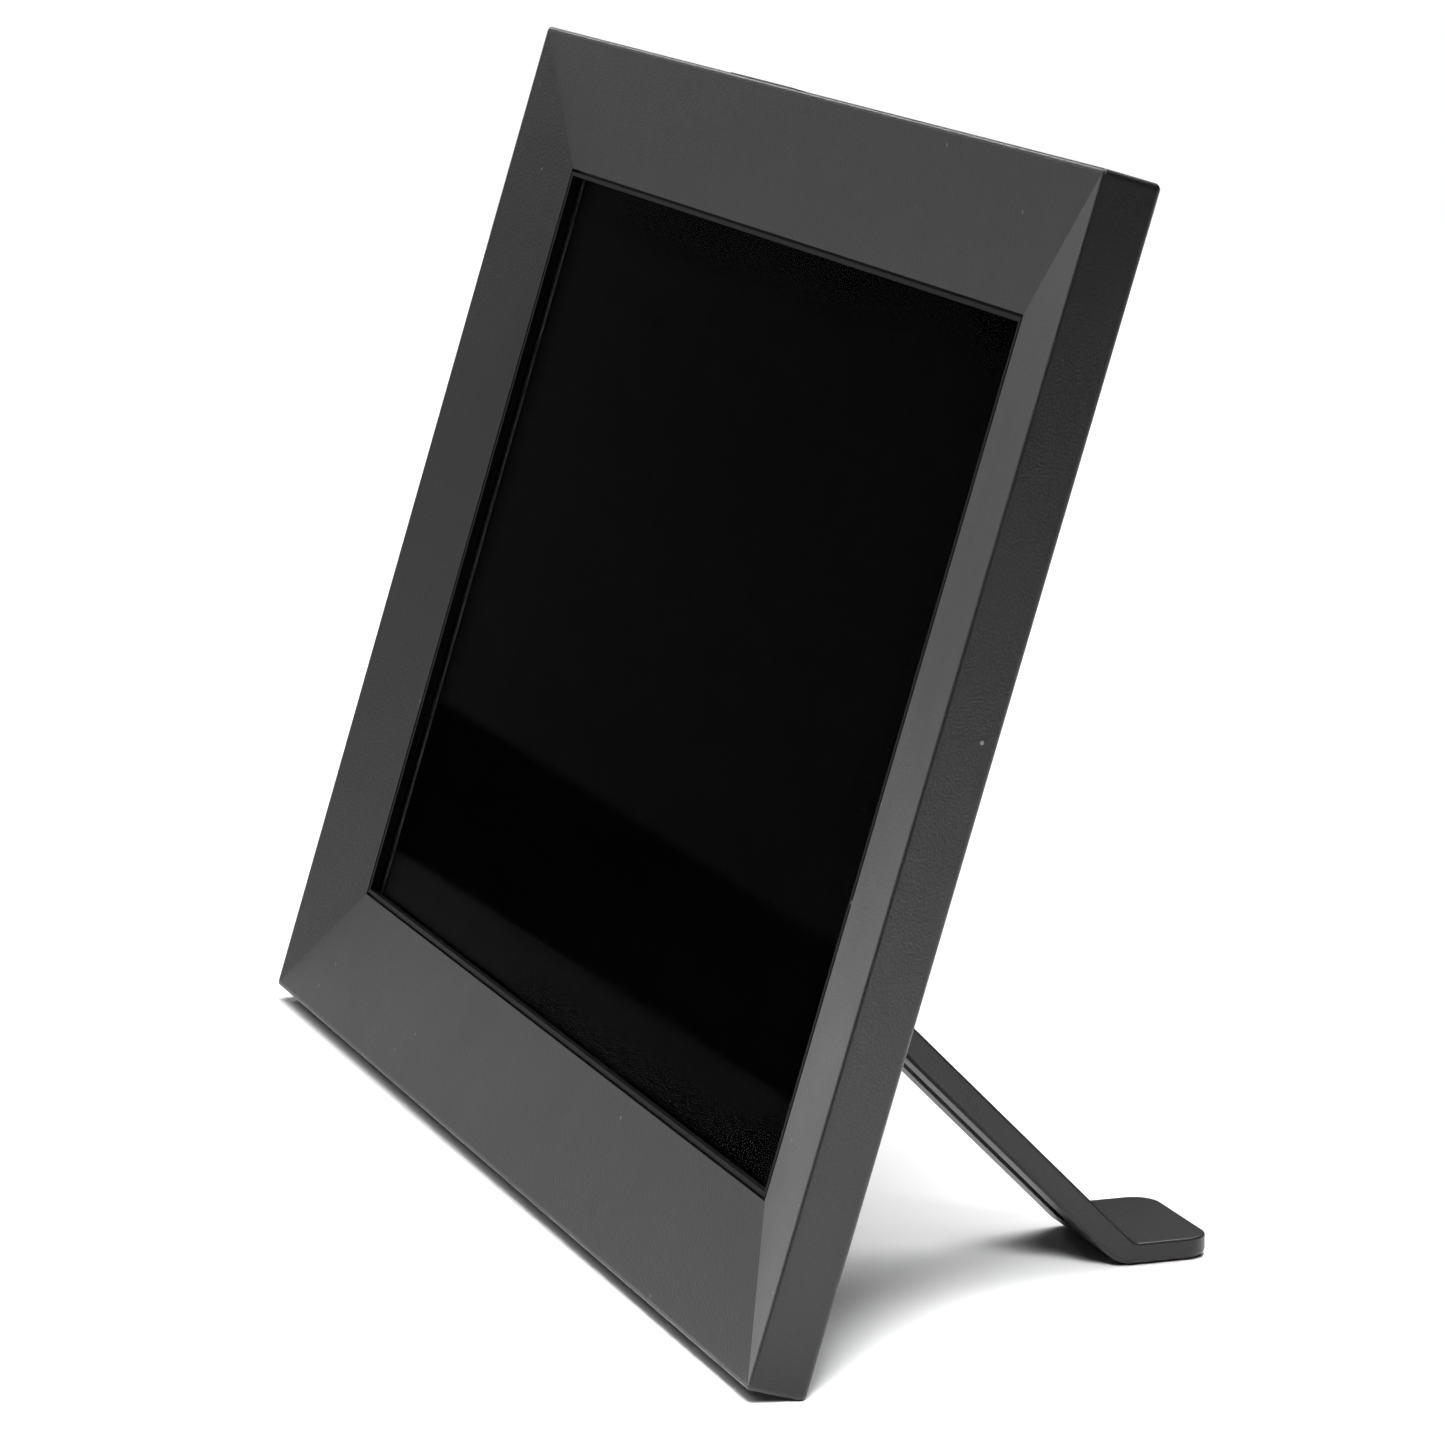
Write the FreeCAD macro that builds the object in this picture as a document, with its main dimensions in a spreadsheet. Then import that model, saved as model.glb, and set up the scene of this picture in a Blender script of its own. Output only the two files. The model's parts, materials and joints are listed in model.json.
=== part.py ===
"""Digital photo frame on a swivelling kickstand, as separate sub-parts.

Each sub-part is drawn upright: x to the viewer's right, y to the back with 0 at the rear edge of the
side walls, z up with 0 at the frame's bottom edge. Its Placement then leans it back and sets the
object's origin at the middle of its footprint, on the table. The leg is drawn as it stands instead,
with z up from the table. All lengths are in millimetres.
"""
import FreeCAD, Part
import math
import os
import Sketcher

doc = FreeCAD.newDocument("PhotoFrame")
sheet = doc.addObject("Spreadsheet::Sheet", "Sizes")
size_names = []
sub_parts = []


# ---------------------------------------------------------------- sizes
class Size:
    """A length or an angle: its number, and the sheet expression that gives it."""

    def __init__(self, value, text):
        self.value = value
        self.text = text

    def __add__(self, other):
        other = as_size(other)
        return Size(self.value + other.value, f"({self.text} + {other.text})")

    def __sub__(self, other):
        other = as_size(other)
        return Size(self.value - other.value, f"({self.text} - {other.text})")

    def __mul__(self, other):
        other = as_size(other)
        return Size(self.value * other.value, f"{self.text} * {other.text}")

    def __truediv__(self, other):
        other = as_size(other)
        return Size(self.value / other.value, f"{self.text} / {other.text}")

    def __neg__(self):
        return Size(-self.value, f"(0 - {self.text})")

    __radd__ = __add__
    __rmul__ = __mul__

    def __rsub__(self, other):
        return as_size(other) - self


def as_size(thing):
    """Turn a plain number into a Size, and leave a Size alone."""
    if isinstance(thing, Size):
        return thing
    return Size(float(thing), f"({thing})")


def size(name, value):
    """Write a driving dimension into the sheet and return it."""
    size_names.append(name)
    row = len(size_names)
    sheet.set(f"A{row}", name)
    sheet.set(f"B{row}", str(value))
    sheet.setAlias(f"B{row}", name)
    return Size(float(value), f"Sizes.{name}")


def sine(angle):
    """Sine of an angle in degrees."""
    return Size(math.sin(math.radians(angle.value)), f"sin({angle.text})")


def cosine(angle):
    """Cosine of an angle in degrees."""
    return Size(math.cos(math.radians(angle.value)), f"cos({angle.text})")


# the whole frame
frame_width = size("frame_width", 267.4)
frame_height = size("frame_height", 185)
wall_depth = size("wall_depth", 9.5)
wall = size("wall", 2.2)
lean = size("lean", 17)
edge_round = size("edge_round", 1.0)
front_round = size("front_round", 0.45)
rim = size("rim", 0.8)
skin = size("skin", 2.0)

# the dished bezel and the opening of a ten inch panel
opening_width = size("opening_width", 220)
opening_height = size("opening_height", 137.7)
dish = size("dish", 4.15)
lip = size("lip", 0.8)
bay_margin = size("bay_margin", 6.5)
liner_gap = size("liner_gap", 0.5)
liner_wall = size("liner_wall", 0.7)
liner_reach = size("liner_reach", 8)
pane_step = size("pane_step", 1.5)
pane_thick = size("pane_thick", 0.8)
pane_reach = size("pane_reach", 9)
gasket_thick = size("gasket_thick", 0.4)
gasket_inset = size("gasket_inset", 1)
gasket_hole = size("gasket_hole", 3)

# the display panel
panel_width = size("panel_width", 229.5)
panel_height = size("panel_height", 149)
active_width = size("active_width", 217)
active_height = size("active_height", 135.6)
panel_lip = size("panel_lip", 2)
panel_inset = size("panel_inset", 2)
light_width = size("light_width", 2)
light_gap = size("light_gap", 0.3)
light_room = size("light_room", 3)
sheet_metal = size("sheet_metal", 0.3)
cell_thick = size("cell_thick", 1.4)
guide_thick = size("guide_thick", 2.1)
slack = size("slack", 0.05)
screw_slack = size("screw_slack", 0.1)

# the panel's brackets and wiring
bracket_sheet = size("bracket_sheet", 0.6)
bracket_reach = size("bracket_reach", 7.5)
bracket_depth = size("bracket_depth", -3.7)
bracket_low = size("bracket_low", 60)
bracket_high = size("bracket_high", 125)
bracket_post_front = size("bracket_post_front", -5.2)
bracket_post = size("bracket_post", 2.2)
bracket_post_inset = size("bracket_post_inset", 2.6)
bracket_post_end = size("bracket_post_end", 8)
bracket_gap = size("bracket_gap", 0.15)
bracket_screw = size("bracket_screw", 0.8)
bracket_screw_length = size("bracket_screw_length", 2.4)
bracket_screw_hole = size("bracket_screw_hole", 2)
bracket_head = size("bracket_head", 1.5)
bracket_head_depth = size("bracket_head_depth", 0.6)
driver_width = size("driver_width", 120)
driver_low = size("driver_low", 21)
driver_high = size("driver_high", 30)
driver_thick = size("driver_thick", 0.8)
driver_gap = size("driver_gap", 0.1)
ribbon_width = size("ribbon_width", 24)
ribbon_thick = size("ribbon_thick", 0.2)
connector_up = size("connector_up", 54)
connector_tall = size("connector_tall", 4)
connector_thick = size("connector_thick", 1.4)

# the rear cover
flange_back = size("flange_back", 0.4)
cover_fit = size("cover_fit", 0.15)
hump_depth = size("hump_depth", 12)
hump_base = size("hump_base", 9)
hump_side = size("hump_side", 32)
hump_end = size("hump_end", 26)
hump_corner = size("hump_corner", 5)
hump_round = size("hump_round", 1.5)
post_radius = size("post_radius", 2.9)
post_inset = size("post_inset", 5.6)
case_screw = size("case_screw", 1.2)
case_head = size("case_head", 2.2)
case_head_depth = size("case_head_depth", 1.0)
case_slack = size("case_slack", 0.2)
case_screw_length = size("case_screw_length", 5)
vent_width = size("vent_width", 1.6)
vent_length = size("vent_length", 14)
vent_pitch = size("vent_pitch", 4)
vent_height = size("vent_height", 38)
vent_start = size("vent_start", -62)
shell_shift = size("shell_shift", 0.6)
keyhole_head = size("keyhole_head", 4)
keyhole_neck = size("keyhole_neck", 2)
keyhole_run = size("keyhole_run", 7)
keyhole_out = size("keyhole_out", 60)
keyhole_height = size("keyhole_height", 119)

# the port bay and its sockets
bay_face = size("bay_face", 96)
bay_low = size("bay_low", 54)
bay_high = size("bay_high", 128)
bay_floor = size("bay_floor", 3.6)
bay_skin = size("bay_skin", 1.5)
socket_fit = size("socket_fit", 0.2)
card_up = size("card_up", 112)
usb_up = size("usb_up", 87)
mini_up = size("mini_up", 73.5)
power_up = size("power_up", 62)

# the main board
board_left = size("board_left", 93.5)
board_right = size("board_right", 22)
board_low = size("board_low", 50)
board_high = size("board_high", 129)
board_front = size("board_front", 3.6)
board_thick = size("board_thick", 1.2)
board_screw = size("board_screw", 1.0)
board_slack = size("board_slack", 0.2)
board_screw_hole = size("board_screw_hole", 3.5)
board_screw_head = size("board_screw_head", 2)
board_screw_head_depth = size("board_screw_head_depth", 0.8)
board_screw_length = size("board_screw_length", 3.9)
board_post = size("board_post", 2.6)
board_inset = size("board_inset", 4)
board_socket_room = size("board_socket_room", 36)
usb_notch = size("usb_notch", 13)

# what is soldered to the main board
chip_left = size("chip_left", -45)
chip_low = size("chip_low", 87)
chip_side = size("chip_side", 14)
chip_thick = size("chip_thick", 1.2)
chip_border = size("chip_border", 2)
memory_left = size("memory_left", -26)
memory_low = size("memory_low", 81)
memory_pitch = size("memory_pitch", 14)
memory_width = size("memory_width", 8)
memory_tall = size("memory_tall", 11)
memory_thick = size("memory_thick", 1)
shield_left = size("shield_left", -51)
shield_low = size("shield_low", 77)
shield_width = size("shield_width", 38)
shield_tall = size("shield_tall", 34)
shield_thick = size("shield_thick", 2.5)
coil_left = size("coil_left", -44)
coil_low = size("coil_low", 60)
coil_pitch = size("coil_pitch", 10)
coil_side = size("coil_side", 6)
coil_thick = size("coil_thick", 2.8)
can_left = size("can_left", -72)
can_up = size("can_up", 70)
can_pitch = size("can_pitch", 7)
can_break = size("can_break", 38)
can_radius = size("can_radius", 2.5)
can_tall = size("can_tall", 3.6)
cell_across = size("cell_across", 6)
cell_up = size("cell_up", 66)
cell_radius = size("cell_radius", 6.25)
coin_thick = size("coin_thick", 2)
holder_wall = size("holder_wall", 0.95)
holder_floor = size("holder_floor", 0.4)
holder_tall = size("holder_tall", 2.6)

# the stand
hub_across = size("hub_across", 71.1)
hub_height = size("hub_height", 50.9)
hub_radius = size("hub_radius", 17)
hub_sink = size("hub_sink", 2)
hub_proud = size("hub_proud", 0.4)
hub_gap = size("hub_gap", 0.3)
hub_slack = size("hub_slack", 0.1)
hub_chamfer = size("hub_chamfer", 0.5)
neck_radius = size("neck_radius", 10.9)
neck_gap = size("neck_gap", 0.08)
washer_thick = size("washer_thick", 0.5)
retainer_radius = size("retainer_radius", 14)
retainer_thick = size("retainer_thick", 1.4)
retainer_ring = size("retainer_ring", 7)
retainer_screw = size("retainer_screw", 0.9)
retainer_screw_length = size("retainer_screw_length", 4)
retainer_head = size("retainer_head", 1.8)
stop_reach = size("stop_reach", 3)
stop_tab = size("stop_tab", 4)
stop_pin = size("stop_pin", 1.2)
stop_gap = size("stop_gap", 0.15)
pin_back = size("pin_back", 16.5)
pin_radius = size("pin_radius", 1.5)
pin_inset = size("pin_inset", 0.3)
pin_gap = size("pin_gap", 0.05)
lug_radius = size("lug_radius", 3.4)
lug_inner = size("lug_inner", 6.2)
lug_thick = size("lug_thick", 3)
lug_flare = size("lug_flare", 1.2)
lug_clear = size("lug_clear", 1.5)
leg_width = size("leg_width", 26.2)
leg_thick = size("leg_thick", 4.2)
leg_drop = size("leg_drop", 45.5)
leg_knuckle = size("leg_knuckle", 3.3)
groove_width = size("groove_width", 7.6)
groove_depth = size("groove_depth", 2)
groove_start = size("groove_start", 9)
groove_end = size("groove_end", 53)
leg_round = size("leg_round", 1.0)
foot_end = size("foot_end", 86.4)
foot_top = size("foot_top", 3.7)
foot_corner = size("foot_corner", 4.5)
heel_round = size("heel_round", 6)
instep_round = size("instep_round", 2)
leg_edge = size("leg_edge", 0.4)
pad_proud = size("pad_proud", 0.3)
pad_depth = size("pad_depth", 0.5)
pad_margin = size("pad_margin", 2)
pad_length = size("pad_length", 9)

# keys
key_board_reach = size("key_board_reach", 8.5)
key_board_edge = size("key_board_edge", 3)
key_board_tall = size("key_board_tall", 10)
key_board_front = size("key_board_front", 4.2)
key_board_thick = size("key_board_thick", 1)
key_travel = size("key_travel", 0.3)
key_gap = size("key_gap", 0.2)
key_proud = size("key_proud", 0.7)
key_radius = size("key_radius", 3.8)
key_collar = size("key_collar", 4.8)
key_collar_thick = size("key_collar_thick", 1)
key_edge = size("key_edge", 0.4)
stem_gap = size("stem_gap", 0.3)
stem_rest = size("stem_rest", 0.15)
key_pitch = size("key_pitch", 13)
key_height = size("key_height", 147)
key_start = size("key_start", 87)
switch_side = size("switch_side", 6)
switch_tall = size("switch_tall", 2.4)
switch_well = size("switch_well", 1.2)
stem_radius = size("stem_radius", 1.6)
bar_left = size("bar_left", 33)
bar_right = size("bar_right", 2)
bar_front = size("bar_front", 9)
bar_depth = size("bar_depth", 4.3)
bar_sink = size("bar_sink", 0.8)
bar_proud = size("bar_proud", 0.12)
bar_gap = size("bar_gap", 0.2)
bar_stem_pitch = size("bar_stem_pitch", 8)
bar_stem_width = size("bar_stem_width", 3)
bar_stem_thick = size("bar_stem_thick", 1.2)
bar_switch_up = size("bar_switch_up", 180)
bar_board_width = size("bar_board_width", 28)
bar_board_deep = size("bar_board_deep", 3)

# loudspeakers
slot_length = size("slot_length", 15)
slot_step = size("slot_step", 2.5)
slot_pitch = size("slot_pitch", 3.2)
slot_width = size("slot_width", 1.4)
speaker_out = size("speaker_out", 22)
speaker_high = size("speaker_high", 142)
speaker_radius = size("speaker_radius", 10)
speaker_tall = size("speaker_tall", 2.8)
speaker_wall = size("speaker_wall", 0.8)
speaker_rim = size("speaker_rim", 1.6)
speaker_gasket = size("speaker_gasket", 0.5)
magnet_radius = size("magnet_radius", 4.95)
magnet_thick = size("magnet_thick", 2.4)
magnet_proud = size("magnet_proud", 2)
cone_root = size("cone_root", 3)
cone_start = size("cone_start", 1)
cone_deep = size("cone_deep", 1.7)
cone_thick = size("cone_thick", 0.3)

vent_count = 16
half_width = frame_width / 2
middle = frame_height / 2
front = -wall_depth
edge_drop = edge_round * (sine(lean) + cosine(lean) - 1)
lip_front = front + dish
lip_back = lip_front + lip
pane_front = lip_front + pane_step
pane_back = pane_front + pane_thick
panel_front = pane_back + gasket_thick
cell_front = panel_front + sheet_metal + slack
cell_back = cell_front + cell_thick
guide_front = cell_back + slack
guide_back = guide_front + guide_thick
panel_back = guide_back + slack + sheet_metal
flange_outer = -flange_back
flange_inner = flange_outer - skin
hump_inner = hump_depth - skin
hub_floor = hump_depth - hub_sink
hub_wall_inner = hub_floor - skin
board_back = board_front + board_thick
pin_stand_y = pin_back * cosine(lean) + hub_height * sine(lean)
pin_stand_z = hub_height * cosine(lean) - pin_back * sine(lean) - edge_drop
front_reach = (wall_depth - front_round) * cosine(lean) - front_round * sine(lean) + front_round
origin_back = (foot_end - front_reach) / 2


# ---------------------------------------------------------------- ways to build
def bind(thing, path, amount):
    """Tie a property of an object to the sheet."""
    amount = as_size(amount)
    thing.setExpression(path, amount.text)


def lean_back(thing, label):
    """Name a finished sub-part and lean it back over the frame's bottom rear edge."""
    thing.Label = label
    turn = FreeCAD.Rotation(FreeCAD.Vector(1, 0, 0), -lean.value)
    thing.Placement = FreeCAD.Placement(FreeCAD.Vector(), turn)
    bind(thing, "Placement.Rotation.Angle", -lean)
    bind(thing, "Placement.Base.y", -origin_back)
    bind(thing, "Placement.Base.z", -edge_drop)
    sub_parts.append(thing)
    return thing


def stand_on_table(thing, label):
    """Name a finished sub-part that is drawn as it stands."""
    thing.Label = label
    bind(thing, "Placement.Base.y", -origin_back)
    sub_parts.append(thing)
    return thing


class Outline:
    """A sketch on one of a body's origin planes, moved along the plane's normal."""

    def __init__(self, body, role, offset):
        self.sketch = body.newObject("Sketcher::SketchObject", "Outline")
        plane = [item for item in body.Origin.OriginFeatures if item.Role == role][0]
        self.sketch.AttachmentSupport = [(plane, "")]
        self.sketch.MapMode = "FlatFace"
        bind(self.sketch, "AttachmentOffset.Base.z", offset)

    def fix(self, line, end, across, up):
        """Hold one end of a line, or a circle's centre, at a place from the origin."""
        for kind, amount in (("DistanceX", as_size(across)), ("DistanceY", as_size(up))):
            rule = Sketcher.Constraint(kind, -1, 1, line, end, amount.value)
            number = self.sketch.addConstraint(rule)
            bind(self.sketch, f"Constraints[{number}]", amount)

    def path(self, points):
        """Close a run of straight lines through the points."""
        first = self.sketch.GeometryCount
        places = [FreeCAD.Vector(as_size(a).value, as_size(b).value, 0) for a, b in points]
        total = len(points)
        for index in range(total):
            line = Part.LineSegment(places[index], places[(index + 1) % total])
            self.sketch.addGeometry(line)
        for index in range(total):
            joint = Sketcher.Constraint("Coincident", first + index, 2, first + (index + 1) % total, 1)
            self.sketch.addConstraint(joint)
        for index, (across, up) in enumerate(points):
            self.fix(first + index, 1, across, up)
        return self

    def rectangle(self, left, right, low, high):
        """Close a rectangle between two corners."""
        return self.path([(left, low), (right, low), (right, high), (left, high)])

    def centred(self, across, up, width, height):
        """Close a rectangle about its middle."""
        across = as_size(across)
        up = as_size(up)
        width = as_size(width)
        height = as_size(height)
        return self.rectangle(across - width / 2, across + width / 2, up - height / 2, up + height / 2)

    def circle(self, across, up, radius):
        """Draw a circle about its centre."""
        across = as_size(across)
        up = as_size(up)
        radius = as_size(radius)
        centre = FreeCAD.Vector(across.value, up.value, 0)
        number = self.sketch.addGeometry(Part.Circle(centre, FreeCAD.Vector(0, 0, 1), radius.value))
        self.fix(number, 3, across, up)
        rule = self.sketch.addConstraint(Sketcher.Constraint("Radius", number, radius.value))
        bind(self.sketch, f"Constraints[{rule}]", radius)
        return self


class Piece:
    """A PartDesign body and the features that shape it."""

    def __init__(self, name):
        self.body = doc.addObject("PartDesign::Body", name)

    def facing(self, depth):
        """An outline in the frame's own plane, at a depth: pads go to the front, cuts to the back."""
        return Outline(self.body, "XZ_Plane", -as_size(depth))

    def sideways(self, across):
        """An outline seen from the side (y, z): pads go to +x, cuts to -x."""
        return Outline(self.body, "YZ_Plane", across)

    def flat(self, up):
        """An outline seen from above (x, y): pads go up, cuts go down."""
        return Outline(self.body, "XY_Plane", up)

    def feature(self, kind, outline, length, flip):
        made = self.body.newObject(f"PartDesign::{kind}", kind)
        made.Profile = outline.sketch
        bind(made, "Length", length)
        made.Reversed = flip
        outline.sketch.Visibility = False
        return made

    def pad(self, outline, length, flip=False):
        return self.feature("Pad", outline, length, flip)

    def cut(self, outline, length, flip=False):
        return self.feature("Pocket", outline, length, flip)

    def loft(self, kind, first, second):
        made = self.body.newObject(f"PartDesign::{kind}", kind)
        made.Profile = first.sketch
        made.Sections = [second.sketch]
        made.Ruled = True
        return made

    def dress(self, kind, chosen, amount):
        """Fillet or chamfer the edges that a test picks out of the shape so far."""
        doc.recompute()
        base = self.body.Tip
        names = [f"Edge{number}" for number, edge in enumerate(base.Shape.Edges, 1) if chosen(edge)]
        made = self.body.newObject(f"PartDesign::{kind}", kind)
        made.Base = (base, names)
        bind(made, "Radius" if kind == "Fillet" else "Size", amount)
        return made


def ends(edge):
    """The two end points of an edge."""
    return edge.Vertexes[0].Point, edge.Vertexes[-1].Point


def same(first, second):
    """True when two lengths agree to a hundredth of a millimetre."""
    return abs(first - second) < 0.01


def along(edge, axis):
    """True when a straight edge runs along an axis: 0 for x, 1 for y, 2 for z."""
    start, stop = ends(edge)
    others = [abs(start[other] - stop[other]) for other in range(3) if other != axis]
    return max(others) < 0.01 and abs(start[axis] - stop[axis]) > 0.01


def at(edge, axis, amount):
    """True when both ends of an edge lie at one coordinate."""
    start, stop = ends(edge)
    return same(start[axis], amount.value) and same(stop[axis], amount.value)


def plate(label, depth, thick, width, height, hole_width=None, hole_height=None):
    """A flat plate or ring, centred on the frame, from a depth to the back."""
    piece = Piece(label)
    outline = piece.facing(depth).centred(0, middle, width, height)
    if hole_width is not None:
        outline.centred(0, middle, hole_width, hole_height)
    piece.pad(outline, thick, flip=True)
    return piece


def block(left, depth, low, width, thick, height):
    """A box from its left, front, bottom corner."""
    made = doc.addObject("Part::Box", "Block")
    for path, amount in (("Length", width), ("Width", thick), ("Height", height)):
        bind(made, path, amount)
    for path, amount in (("x", left), ("y", depth), ("z", low)):
        bind(made, f"Placement.Base.{path}", amount)
    return made


def rod(across, depth, up, radius, length):
    """A cylinder that runs to the back from its front end's centre."""
    made = doc.addObject("Part::Cylinder", "Rod")
    made.Placement.Rotation = FreeCAD.Rotation(FreeCAD.Vector(1, 0, 0), -90)
    bind(made, "Radius", radius)
    bind(made, "Height", length)
    for path, amount in (("x", across), ("y", depth), ("z", up)):
        bind(made, f"Placement.Base.{path}", amount)
    return made


def join(shapes):
    """One solid from several that touch."""
    made = doc.addObject("Part::MultiFuse", "Join")
    made.Shapes = shapes
    return made


def carve(base, tools):
    """A shape less some others."""
    made = doc.addObject("Part::Cut", "Carve")
    made.Base = base
    made.Tool = tools[0] if len(tools) == 1 else join(tools)
    return made


def group(shapes):
    """Several separate solids as one sub-part."""
    made = doc.addObject("Part::Compound", "Group")
    made.Links = shapes
    return made


def screw(across, up, head_front, head_radius, head_thick, radius, length, forward):
    """A pan head screw along y with a cross recess; forward ones point to the front."""
    head = rod(across, head_front, up, head_radius, head_thick)
    shank_front = head_front - length if forward else head_front + head_thick
    shank = rod(across, shank_front, up, radius, length)
    recess_depth = head_thick / 2
    recess_front = head_front + head_thick - recess_depth if forward else head_front
    arm = head_radius * 1.1
    bar = head_radius * 0.28
    flat_bar = block(across - arm / 2, recess_front, up - bar / 2, arm, recess_depth, bar)
    tall_bar = block(across - bar / 2, recess_front, up - arm / 2, bar, recess_depth, arm)
    return carve(join([head, shank]), [flat_bar, tall_bar])


# ---------------------------------------------------------------- front
def front_bezel():
    """The dished picture-frame moulding with its side walls, as one piece."""
    piece = Piece("FrontBezel")
    piece.pad(piece.facing(0).centred(0, middle, frame_width, frame_height), wall_depth)
    piece.dress("Fillet", lambda edge: along(edge, 1), edge_round)
    room_width = frame_width - wall * 2
    room_height = frame_height - wall * 2
    room_front = front + skin + dish / 10
    piece.cut(piece.facing(room_front).centred(0, middle, room_width, room_height), wall_depth)
    bay_width = opening_width + bay_margin * 2
    bay_height = opening_height + bay_margin * 2
    low = piece.facing(room_front).centred(0, middle, room_width, room_height)
    high = piece.facing(lip_back).centred(0, middle, bay_width, bay_height)
    piece.loft("AdditiveLoft", low, high)
    rim_line = piece.facing(front).centred(0, middle, frame_width - rim * 2, frame_height - rim * 2)
    edge_line = piece.facing(lip_front).centred(0, middle, opening_width, opening_height)
    piece.loft("SubtractiveLoft", rim_line, edge_line)
    piece.cut(piece.facing(front).centred(0, middle, opening_width, opening_height), wall_depth)
    for across, up in case_posts():
        post = piece.facing(room_front).circle(across, up, post_radius)
        piece.pad(post, flange_inner - room_front, flip=True)
    for across, up in case_posts():
        hole = piece.facing(flange_inner).circle(across, up, case_screw)
        piece.cut(hole, case_screw_length - skin, flip=True)
    for across, up in bracket_posts():
        post = piece.facing(bracket_post_front).circle(across, up, bracket_post)
        piece.pad(post, bracket_depth - bracket_post_front, flip=True)
    for across, up in bracket_posts():
        hole = piece.facing(bracket_depth).circle(across, up, bracket_screw)
        piece.cut(hole, bracket_screw_hole, flip=True)
    sink = piece.flat(frame_height).rectangle(-bar_left, -bar_right, -bar_front, -bar_front + bar_depth)
    piece.cut(sink, bar_sink)
    for across in bar_stems():
        slot = piece.flat(frame_height)
        slot.centred(across, bar_stem_depth(), bar_stem_width + bar_gap * 2, bar_stem_thick + bar_gap * 2)
        piece.cut(slot, wall * 1.5)
    piece.dress("Fillet", lambda edge: on_outer_edge(edge, 0), edge_round)
    piece.dress("Fillet", lambda edge: on_outer_edge(edge, front.value), front_round)
    return lean_back(piece.body, "front_bezel")


def on_outer_edge(edge, depth):
    """True for the edges of the frame's outer outline at one depth."""
    box = edge.BoundBox
    if not (same(box.YMin, depth) and same(box.YMax, depth)):
        return False
    across = max(abs(box.XMin), abs(box.XMax))
    tall = max(abs(box.ZMin - middle.value), abs(box.ZMax - middle.value))
    return same(across, half_width.value) or same(tall, middle.value)


def case_posts():
    """Places of the posts and screws that hold the rear cover to the bezel."""
    side = half_width - post_inset
    low = post_inset
    high = frame_height - post_inset
    between = half_width * 0.4
    return [(across * sign, up) for up in (low, high) for across in (side, between) for sign in (-1, 1)]


def bracket_posts():
    """Places of the four posts that the panel's brackets are screwed to."""
    across = panel_width / 2 + bracket_reach - bracket_post_inset
    heights = (bracket_low + bracket_post_end, bracket_high - bracket_post_end)
    return [(across * sign, up) for sign in (-1, 1) for up in heights]


def bar_stems():
    """Places across of the three stems of the top key."""
    centre = -(bar_left + bar_right) / 2
    return [centre - bar_stem_pitch, centre, centre + bar_stem_pitch]


def bar_stem_depth():
    """Depth of the middle of the stems of the top key."""
    return -bar_front + bar_depth - bar_stem_thick * 0.75


def inner_liner():
    """The thin step ring between the bezel's inner edge and the glass."""
    piece = Piece("InnerLiner")
    outer_width = opening_width - liner_gap * 2
    outer_height = opening_height - liner_gap * 2
    inner_width = outer_width - liner_wall * 2
    inner_height = outer_height - liner_wall * 2
    step = piece.facing(lip_front + slack).centred(0, middle, outer_width, outer_height)
    step.centred(0, middle, inner_width, inner_height)
    piece.pad(step, pane_step - slack * 2, flip=True)
    under = piece.facing(lip_back + slack)
    under.centred(0, middle, opening_width + liner_reach, opening_height + liner_reach)
    under.centred(0, middle, inner_width, inner_height)
    piece.pad(under, pane_step - lip - slack * 2, flip=True)
    return lean_back(piece.body, "inner_liner")


def display_stack():
    """The glass pane, its gasket and the layers of the display panel."""
    pane = plate("Pane", pane_front, pane_thick, opening_width + pane_reach, opening_height + pane_reach)
    lean_back(pane.body, "glass_pane")
    gasket = plate("Gasket", pane_back, gasket_thick, panel_width - gasket_inset, panel_height - gasket_inset,
                   active_width + gasket_hole, active_height + gasket_hole)
    lean_back(gasket.body, "pane_gasket")
    panel_frame = plate("PanelFrame", panel_front, sheet_metal, panel_width, panel_height,
                        active_width + panel_lip, active_height + panel_lip)
    skirt = panel_frame.facing(panel_front).centred(0, middle, panel_width, panel_height)
    skirt.centred(0, middle, panel_width - sheet_metal * 2, panel_height - sheet_metal * 2)
    panel_frame.pad(skirt, guide_back - panel_front, flip=True)
    lean_back(panel_frame.body, "panel_front_frame")
    inner_width = panel_width - panel_inset
    inner_height = panel_height - panel_inset
    cell = plate("Cell", cell_front, cell_thick, inner_width, inner_height)
    lean_back(cell.body, "display_cell")
    guide = Piece("Guide")
    guide_low = middle - inner_height / 2 + light_room
    guide_high = middle + inner_height / 2
    slab = guide.facing(guide_front).rectangle(-inner_width / 2, inner_width / 2, guide_low, guide_high)
    guide.pad(slab, guide_thick, flip=True)
    lean_back(guide.body, "light_guide")
    light = Piece("LightBar")
    light_top = guide_low - light_gap
    strip = light.facing(guide_front)
    strip.rectangle(-inner_width / 2, inner_width / 2, light_top - light_width, light_top)
    light.pad(strip, guide_thick, flip=True)
    lean_back(light.body, "light_bar")
    tray = plate("Tray", guide_back + slack, sheet_metal, panel_width, panel_height)
    lean_back(tray.body, "panel_back_tray")


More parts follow.
